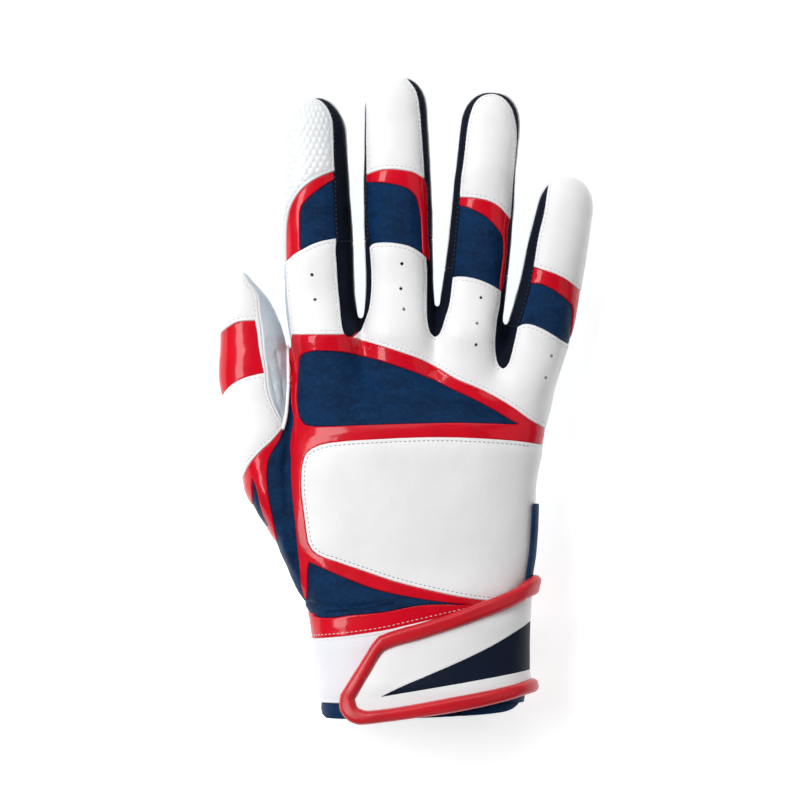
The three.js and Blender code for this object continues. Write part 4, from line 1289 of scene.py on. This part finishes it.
class GloveSizes(bpy.types.PropertyGroup):
    """Sizes of the sewn details"""
    wall: length("Wall", "Thickness of the leather and fabric panels", 0.0016)
    strap_wall: length("Strap wall", "Thickness of the moulded wrist strap", 0.0013)
    strap_lift: length("Strap lift", "Height of the strap over the skin of the cuff", 0.0032)
    pad_wall: length("Hook pad wall", "Thickness of the hook pad under the strap", 0.0005)
    tab_wall: length("Side tab wall", "Thickness of the side tab", 0.0010)
    tab_lift: length("Side tab lift", "Height of the side tab over the skin of the hand", 0.0014)
    stitch_inset: length("Stitch inset", "Distance of the stitches from a panel's edge", 0.00125)
    stitch_groove: length("Stitch groove", "Depth of the groove the stitches lie in", 0.00014)
    stitch_pitch: length("Stitch pitch", "Distance from one stitch to the next", 0.0016)
    stitch_length: length("Stitch length", "Length of the thread seen in one stitch", 0.00115)
    thread: length("Thread", "Thickness of the sewing thread", 0.00036)
    dot_pitch: length("Dot pitch", "Distance between the embossed dots of the index cap", 0.0025)
    dot_height: length("Dot height", "Height of the embossed dots of the index cap", 0.0002)
    air_hole: length("Air hole", "Radius of the air holes over the knuckles", 0.0006)
    voxel: length("Form detail", "Size of the cells from which the glove's form is made", 0.00085)


class GloveColours(bpy.types.PropertyGroup):
    """Colours of the glove's leathers, fabrics and threads"""
    white: colour("White leather", "Leather of the back and the caps", (252, 252, 253))
    cuff: colour("Cuff leather", "Leather of the cuff", (241, 242, 248))
    silver: colour("Embossed leather", "Silvery leather of the index cap", (246, 249, 251))
    palm: colour("Palm leather", "Grey leather of the palm side", (203, 213, 222))
    piping: colour("Turned edge", "Paler turned edge of the palm leather", (236, 236, 240))
    navy: colour("Navy knit", "Stretch knit of the bands and sides", (5, 44, 82))
    dark: colour("Dark fabric", "Fabric between the fingers", (5, 12, 27))
    red: colour("Red gloss", "Glossy red trims, bands and frame", (224, 1, 33))
    rubber: colour("Red rubber", "Moulded rim of the strap", (218, 22, 38))
    inlay: colour("Navy print", "Printed stripe of the strap", (10, 21, 40))
    light_thread: colour("Light thread", "Thread on red and navy", (232, 226, 230))
    grey_thread: colour("Grey thread", "Thread round the back panel", (176, 180, 190))
    pale_thread: colour("Pale thread", "Thread on the white caps", (238, 239, 243))
    dark_thread: colour("Dark thread", "Thick thread along the dark gussets", (17, 28, 52))


class GloveStage(bpy.types.PropertyGroup):
    """Lights of the studio"""
    key: power("Key light", "Power of the tall light on the left", 5.8)
    fill: power("Fill light", "Power of the light on the right", 1.5)
    low: power("Low light", "Power of the light below the wrist", 1.2)
    far: power("Far light", "Power of the light beyond the fingertips", 3.2)
    surround: bpy.props.FloatProperty(
        name="Surround", description="Strength of the even light from all round", default=0.1,
        min=0.0, max=5.0)


class GLOVE_OT_finishes(bpy.types.Operator):
    """Make the leathers, fabrics, gloss and rubber"""
    bl_idname = "glove.finishes"
    bl_label = "Finishes"

    def execute(self, context):
        colours = context.scene.glove_colours
        white_leather("White leather", colours.white)
        white_leather("Cuff leather", colours.cuff)
        white_leather("Embossed leather", colours.silver, silver=0.12)
        palm_leather(colours.palm, colours.piping)
        navy_knit(colours.navy)
        plain_finish("Dark fabric", colours.dark, 1.8, (110.0, 0.0008), (1300.0, 0.0001),
                     lift=0.002, woven=True, Roughness=0.8, Specular_IOR_Level=0.15)
        plain_finish("Red gloss", colours.red, 0.78, (70.0, 0.0005), (900.0, 0.00002),
                     Roughness=0.4, Specular_IOR_Level=0.1, Coat_Weight=0.5, Coat_Roughness=0.1)
        plain_finish("Red rubber", colours.rubber, 0.85, (80.0, 0.0004), (1200.0, 0.00003),
                     Roughness=0.36, Specular_IOR_Level=0.4, Coat_Weight=0.25,
                     Coat_Roughness=0.25)
        plain_finish("Navy print", colours.inlay, 1.3, (60.0, 0.0004), (1400.0, 0.00004),
                     Roughness=0.5, Specular_IOR_Level=0.15)
        for shade in ("light", "grey", "pale", "dark"):
            thread(shade.title() + " thread", getattr(colours, shade + "_thread"))
        return {"FINISHED"}


def add(node, look, finish, field, body, bend=None, wall=None, surface="glove", extra=None,
        flush=(), stands_for=None):
    """One piece, which stands for the CAD piece of its name unless another or none is given."""
    piece = dress(skin(surface), node + "_piece", look, field, wall, extra, flush)
    finish_piece(piece, node if stands_for is None else stands_for, finish, body, bend)


class GLOVE_OT_fingertips(bpy.types.Operator):
    """Make each fingertip: its leather cap, glossy trim, stretch band, side gusset and palm side"""
    bl_idname = "glove.fingertips"
    bl_label = "Fingertips"

    def execute(self, context):
        for name in FINGERS:
            cap, whole, inner, reach = (name + s for s in ("_cap", "_all", "_inner", "_reach"))
            base = "index_base" if name == "index" else "cover"
            tip, bend = name + "_tip", limb_bend(name)
            index = name == "index"
            add(name + "_tip_cap", "leather", "Embossed leather" if index else "White leather",
                upper([cap]), tip, bend, extra=embossing(LIMBS[name]) if index else None)
            add(name + "_trim", "gloss", "Red gloss", upper([whole], [cap, inner]), tip, bend)
            add(name + "_flex_band", "knit", "Navy knit", upper([whole, inner], [cap]), tip, bend)
            add(name + "_tip_gusset", "gusset", "Dark fabric", upper([reach], [cap, whole, base]),
                tip, bend)
            add(name + "_tip_palm", "palm", "Palm leather", lower([reach]), tip, bend)
        return {"FINISHED"}


class GLOVE_OT_knuckles(bpy.types.Operator):
    """Make the leather over the knuckles, the gussets between the fingers and the front palm"""
    bl_idname = "glove.knuckles"
    bl_label = "Knuckles"

    def execute(self, context):
        bend = knuckle_bend()
        alls = [n + "_all" for n in FINGERS]
        holes = [n for n in OUTLINES if n.startswith("air_hole")]
        reaches = [n + "_reach" for n in FINGERS]
        add("index_base_panel", "leather", "White leather",
            upper(["index_base"], [*alls, "index_side", *holes]), "knuckles", bend, flush=holes)
        add("knuckle_cover", "leather", "White leather", upper(["cover"], [*alls, *holes]),
            "knuckles", bend, flush=holes)
        add("knuckle_band", "gloss", "Red gloss",
            upper(["knuckle_band"], ["index_base", "cover", "knuckle_panel", "back_frame",
                                     "index_side", "thumb_inner"]),
            "knuckles", bend, flush=["back_frame"])
        for name in ("index_middle", "middle_ring", "ring_little"):
            add(name + "_gusset", "gusset", "Dark fabric",
                upper([name], ["index_base", "cover", "knuckle_band", *alls, *reaches]),
                "knuckles", bend)
        add("index_piping", "piping", "White leather", upper(["index_piping"], ["index_base"]),
            "knuckles", bend, stands_for="")
        surface = skin("glove")
        side = np.minimum(surface.points[:, 2] - SIDE_SEAM, surface.fields["index_side"])
        add("palm_front", "palm", "Palm leather",
            np.maximum(surface.field(["ahead"], reaches), side), "knuckles", bend)
        return {"FINISHED"}


class GLOVE_OT_back(bpy.types.Operator):
    """Make the back of the hand: panels, frame, hem and side"""
    bl_idname = "glove.back"
    bl_label = "Back of the Hand"

    def execute(self, context):
        bend = knuckle_bend()
        add("back_panel", "leather", "White leather", upper(["back_panel"]), "hand", bend)
        add("knuckle_panel", "knit", "Navy knit", upper(["knuckle_panel"]), "hand", bend)
        add("lower_back_panel", "knit", "Navy knit", upper(["lower_panel"], ["back_panel"]), "hand",
            extra=creases([[(300, 601), (325, 605), (352, 606), (385, 600)],
                           [(330, 612), (360, 609), (392, 603)]], 0.55, 0.9))
        add("hem_band", "gloss", "Red gloss", upper(["hem"], ["lower_panel", "back_panel"]), "hand")
        add("back_frame", "gloss", "Red gloss", upper(
            ["back_frame"], ["back_panel", "knuckle_panel", "lower_panel", "hem", "thumb_inner"]),
            "hand", bend, flush=["back_frame", "hem"])
        add("side_panel", "knit", "Navy knit", upper(
            ["side_panel"], ["back_frame", "hem", "lower_panel"]), "hand",
            extra=creases([[(274, 462), (284, 470), (292, 482)],
                           [(280, 520), (288, 532), (297, 560)]], 0.4, 1.0))
        return {"FINISHED"}


class GLOVE_OT_thumb(bpy.types.Operator):
    """Make the thumb: tip, band, base, gusset and inner side"""
    bl_idname = "glove.thumb"
    bl_label = "Thumb"

    def execute(self, context):
        bend = limb_bend("thumb")
        add("thumb_tip_cap", "leather", "White leather",
            upper(["thumb_cap"], ["thumb_band"]), "thumb_tip", bend)
        add("thumb_band", "gloss", "Red gloss", upper(["thumb_band"]), "thumb_tip", bend)
        add("thumb_base_panel", "leather", "White leather",
            upper(["thumb_base"], ["thumb_band", "side_panel", "thumb_cap"]), "hand", bend)
        add("thumb_gusset", "gloss", "Red gloss",
            upper(["thumb_gusset"], ["thumb_base", "side_panel", "thumb_sliver"]), "hand")
        add("thumb_gusset_insert", "knit", "Navy knit",
            upper(["thumb_gusset", "thumb_sliver"], ["thumb_base", "side_panel"]), "hand",
            stands_for="")
        add("thumb_piping", "piping", "White leather",
            upper(["thumb_piping"], ["index_piping"]), "hand", bend, stands_for="",
            flush=["index_piping"])
        add("thumb_inner_panel", "palm", "Palm leather",
            upper(["thumb_inner"], ["thumb_cap", "thumb_band", "thumb_base", "side_panel",
                                    "thumb_gusset"]), "hand", bend,
            extra=creases([[(270, 366), (273, 385), (277, 402), (282, 418)],
                           [(276, 352), (280, 374), (283, 394)]], 0.35, 0.45))
        add("thumb_tip_palm", "palm", "Palm leather", lower(["thumb_reach"]), "thumb_tip", bend)
        return {"FINISHED"}


class GLOVE_OT_cuff(bpy.types.Operator):
    """Make the heel of the palm and the cuff"""
    bl_idname = "glove.cuff"
    bl_label = "Palm and Cuff"

    def execute(self, context):
        reaches = [n + "_reach" for n in FINGERS]
        add("palm_heel", "palm", "Palm leather",
            lower([], ["ahead", "thumb_reach", "binding", *reaches]), "hand")
        add("cuff_back_panel", "leather", "Cuff leather",
            upper(["cuff_back"], ["hem", "side_panel", "lower_panel", "binding", "loop_patch"]),
            "hand")
        add("cuff_side_panel", "knit", "Navy knit",
            upper(["cuff_side"], ["hem", "back_panel", "back_frame", "binding"]), "hand")
        add("loop_patch", "pad", "Dark fabric", upper(["loop_patch"]), "hand")
        add("cuff_slit_insert", "gusset", "Dark fabric", upper(["slit_cover"], ["cuff_end", "hem"]),
            "hand", extra=sunk(0.8), stands_for="")
        surface = skin("glove")
        slit = np.minimum(-surface.fields["cuff_slit"], surface.points[:, 2] - SIDE_SEAM)
        slit = np.where(surface.fields["cuff_slit"] < 0, slit, -FAR)
        field = np.maximum(surface.field(["binding"], ["cuff_end"]), slit)
        add("cuff_binding", "knit", "Navy knit", field, "hand")
        return {"FINISHED"}


class GLOVE_OT_strap(bpy.types.Operator):
    """Make the wrist strap: moulded rim, face, inlay, root, hook pad and side tab"""
    bl_idname = "glove.strap"
    bl_label = "Wrist Strap"

    def execute(self, context):
        sizes = context.scene.glove_sizes
        bend = STRAP_BEND
        strap = skin("strap")
        wall = sizes.strap_wall / MM
        edge = dict(surface="strap", flush=[PIVOT_SEAM])
        for node, body, low, high in (("strap_{}", "strap", PIVOT_SEAM, None),
                                      ("strap_root_{}", "hand", ROOT_BOTTOM, PIVOT_SEAM)):
            rim = strap.field(["strap_outer"], ["strap_inner"], low=low, high=high)
            face = strap.field(["strap_inner"], ["strap_inlay"], low=low, high=high)
            inlay = strap.field(["strap_inner", "strap_inlay"], low=low, high=high)
            # the root's rim stands for the whole root
            stands_for = ("strap_root", "", "") if body == "hand" else (None,) * 3
            for look, finish, field, other in zip(
                    ("rim", "face", "inlay"), ("Red rubber", "White leather", "Navy print"),
                    (rim, face, inlay), stands_for):
                add(node.format(look), look, finish, field, body, bend, wall, **edge,
                    stands_for=other)
        # the lining closes the strap from below, a little way in under the rim
        under = np.maximum(strap.field(["strap_outer"], low=PIVOT_SEAM + 0.4),
                           strap.fields["strap_inner"] - 1.2)
        add("strap_lining", "pad", "Palm leather", under, "strap", bend, wall + 0.3,
            surface="strap", stands_for="", extra=sunk(wall))
        pad = skin("pad").field(["hook_pad"], low=PAD_BOTTOM)
        add("hook_pad", "pad", "Dark fabric", pad, "strap", None, sizes.pad_wall / MM,
            surface="pad")
        tab = skin("tab").field(["side_tab"], low=TAB_BOTTOM, high=TAB_TOP)
        add("side_tab", "pad", "Navy knit", tab, "hand", None, sizes.tab_wall / MM,
            surface="tab")
        return {"FINISHED"}


class GLOVE_OT_stitching(bpy.types.Operator):
    """Sew the panels: rows of stitches along their edges"""
    bl_idname = "glove.stitching"
    bl_label = "Stitching"

    def execute(self, context):
        inset = context.scene.glove_sizes.stitch_inset / MM

        def on_top(line):
            return line[:, 2] > SEWN_BOTTOM

        def left_on_back(line):
            return on_top(line) & (line[:, 0] < across(528))

        def low_on_hem(line):
            middle = place([(290, 625), (333, 626), (385, 619), (425, 612.5), (470, 607)])
            return on_top(line) & (line[:, 1] < np.interp(line[:, 0], *middle.T))

        sewn = (("Pale thread", "_tip_cap", "_tip_stitches", inset, 1.0),
                ("Dark thread", "_tip_gusset", "_gusset_stitches", 0.5, 2.2))
        for seed, name in enumerate(FINGERS):
            for colour_of, piece, row, far, thick in sewn:
                stitch(name + row, colour_of, [(name + piece, far, on_top)], name + "_tip",
                       limb_bend(name), seed, thick)
        stitch("thumb_tip_stitches", "Pale thread", [("thumb_tip_cap", inset, on_top)],
               "thumb_tip", limb_bend("thumb"), 5)
        stitch("thumb_base_stitches", "Pale thread", [("thumb_base_panel", inset, on_top)],
               "hand", limb_bend("thumb"), 6)
        stitch("knuckle_stitches", "Pale thread", [
            ("index_base_panel", inset, on_top), ("knuckle_cover", inset, on_top)],
            "knuckles", knuckle_bend(), 7)
        stitch("back_stitches", "Grey thread", [("back_panel", inset, left_on_back)],
               "hand", knuckle_bend(), 8)
        stitch("hem_stitches", "Light thread", [("hem_band", 1.1, low_on_hem)], "hand", None, 9)
        return {"FINISHED"}


# Each light's place and size in metres
LIGHTS = {
    "key": ((-0.5, 0.2, 0.65), (0.8, 0.28)),
    "fill": ((0.9, 0.1, 0.9), (1.0, 1.0)),
    "low": ((0.0, -1.0, 0.8), (0.8, 0.8)),
    "far": ((0.1, 0.95, 0.75), (0.8, 0.8)),
}
FLOOR_HALF, FLOOR_HEIGHT = 3, -0.0006
CAMERA_PLACE = (-0.0017, -0.0002, 3.02)
LENS, SENSOR = 394, 36


class GLOVE_OT_stage(bpy.types.Operator):
    """Make the floor, lights and camera"""
    bl_idname = "glove.stage"
    bl_label = "Stage"

    def execute(self, context):
        scene, light_of = context.scene, context.scene.glove_stage
        corners = [(x * FLOOR_HALF, y * FLOOR_HALF, FLOOR_HEIGHT)
                   for x, y in ((-1, -1), (1, -1), (1, 1), (-1, 1))]
        floor = bpy.data.objects.new("floor", mesh_of(corners, [(0, 1, 2, 3)], "floor"))
        scene.collection.objects.link(floor)
        f = Finish("Floor")
        f.set(Base_Color=(0.9, 0.9, 0.9, 1), Roughness=0.9, Emission_Color=(1, 1, 1, 1),
              Emission_Strength=0.62)
        floor.data.materials.append(f.material)
        for name, (place_at, size) in LIGHTS.items():
            data = bpy.data.lights.new(name + " light", "AREA")
            data.shape = "RECTANGLE"
            data.size, data.size_y = size
            data.energy = getattr(light_of, name)
            light = bpy.data.objects.new(name + " light", data)
            light.location = place_at
            light.rotation_euler = (-Vector(place_at)).to_track_quat("-Z", "Y").to_euler()
            scene.collection.objects.link(light)
        world = bpy.data.worlds.new("studio")
        world.use_nodes = True
        background = world.node_tree.nodes["Background"].inputs
        background["Color"].default_value = (1, 1, 1, 1)
        background["Strength"].default_value = light_of.surround
        scene.world = world
        data = bpy.data.cameras.new("camera")
        data.sensor_width = SENSOR
        data.lens = LENS
        camera = bpy.data.objects.new("camera", data)
        camera.location = CAMERA_PLACE
        scene.collection.objects.link(camera)
        scene.camera = camera
        scene.view_settings.view_transform = "Standard"
        return {"FINISHED"}


class GLOVE_PT_panel(bpy.types.Panel):
    """The steps that build the glove"""
    bl_idname = "GLOVE_PT_panel"
    bl_label = "Batting Glove"
    bl_space_type = "VIEW_3D"
    bl_region_type = "UI"
    bl_category = "Glove"

    def draw(self, context):
        for step in STEPS:
            self.layout.operator(step.bl_idname)
        for name, group in SETTINGS.items():
            box = self.layout.box()
            box.label(text=group.__doc__)
            for key in group.__annotations__:
                box.prop(getattr(context.scene, name), key)


STEPS = (GLOVE_OT_finishes, GLOVE_OT_fingertips, GLOVE_OT_knuckles, GLOVE_OT_back, GLOVE_OT_thumb,
         GLOVE_OT_cuff, GLOVE_OT_strap, GLOVE_OT_stitching, GLOVE_OT_stage)
SETTINGS = {"glove_sizes": GloveSizes, "glove_colours": GloveColours, "glove_stage": GloveStage}
CLASSES = (*SETTINGS.values(), *STEPS, GLOVE_PT_panel)


def register():
    for cls in CLASSES:
        bpy.utils.register_class(cls)
    for name, group in SETTINGS.items():
        setattr(bpy.types.Scene, name, bpy.props.PointerProperty(type=group))


def unregister():
    for name in SETTINGS:
        delattr(bpy.types.Scene, name)
    for cls in reversed(CLASSES):
        bpy.utils.unregister_class(cls)


def main():
    register()
    for name in ("Cube", "Light", "Camera"):
        if name in bpy.data.objects:
            bpy.data.objects.remove(bpy.data.objects[name])
    for step in STEPS:
        group, name = step.bl_idname.split(".")
        getattr(getattr(bpy.ops, group), name)()


if __name__ == "__main__":
    main()
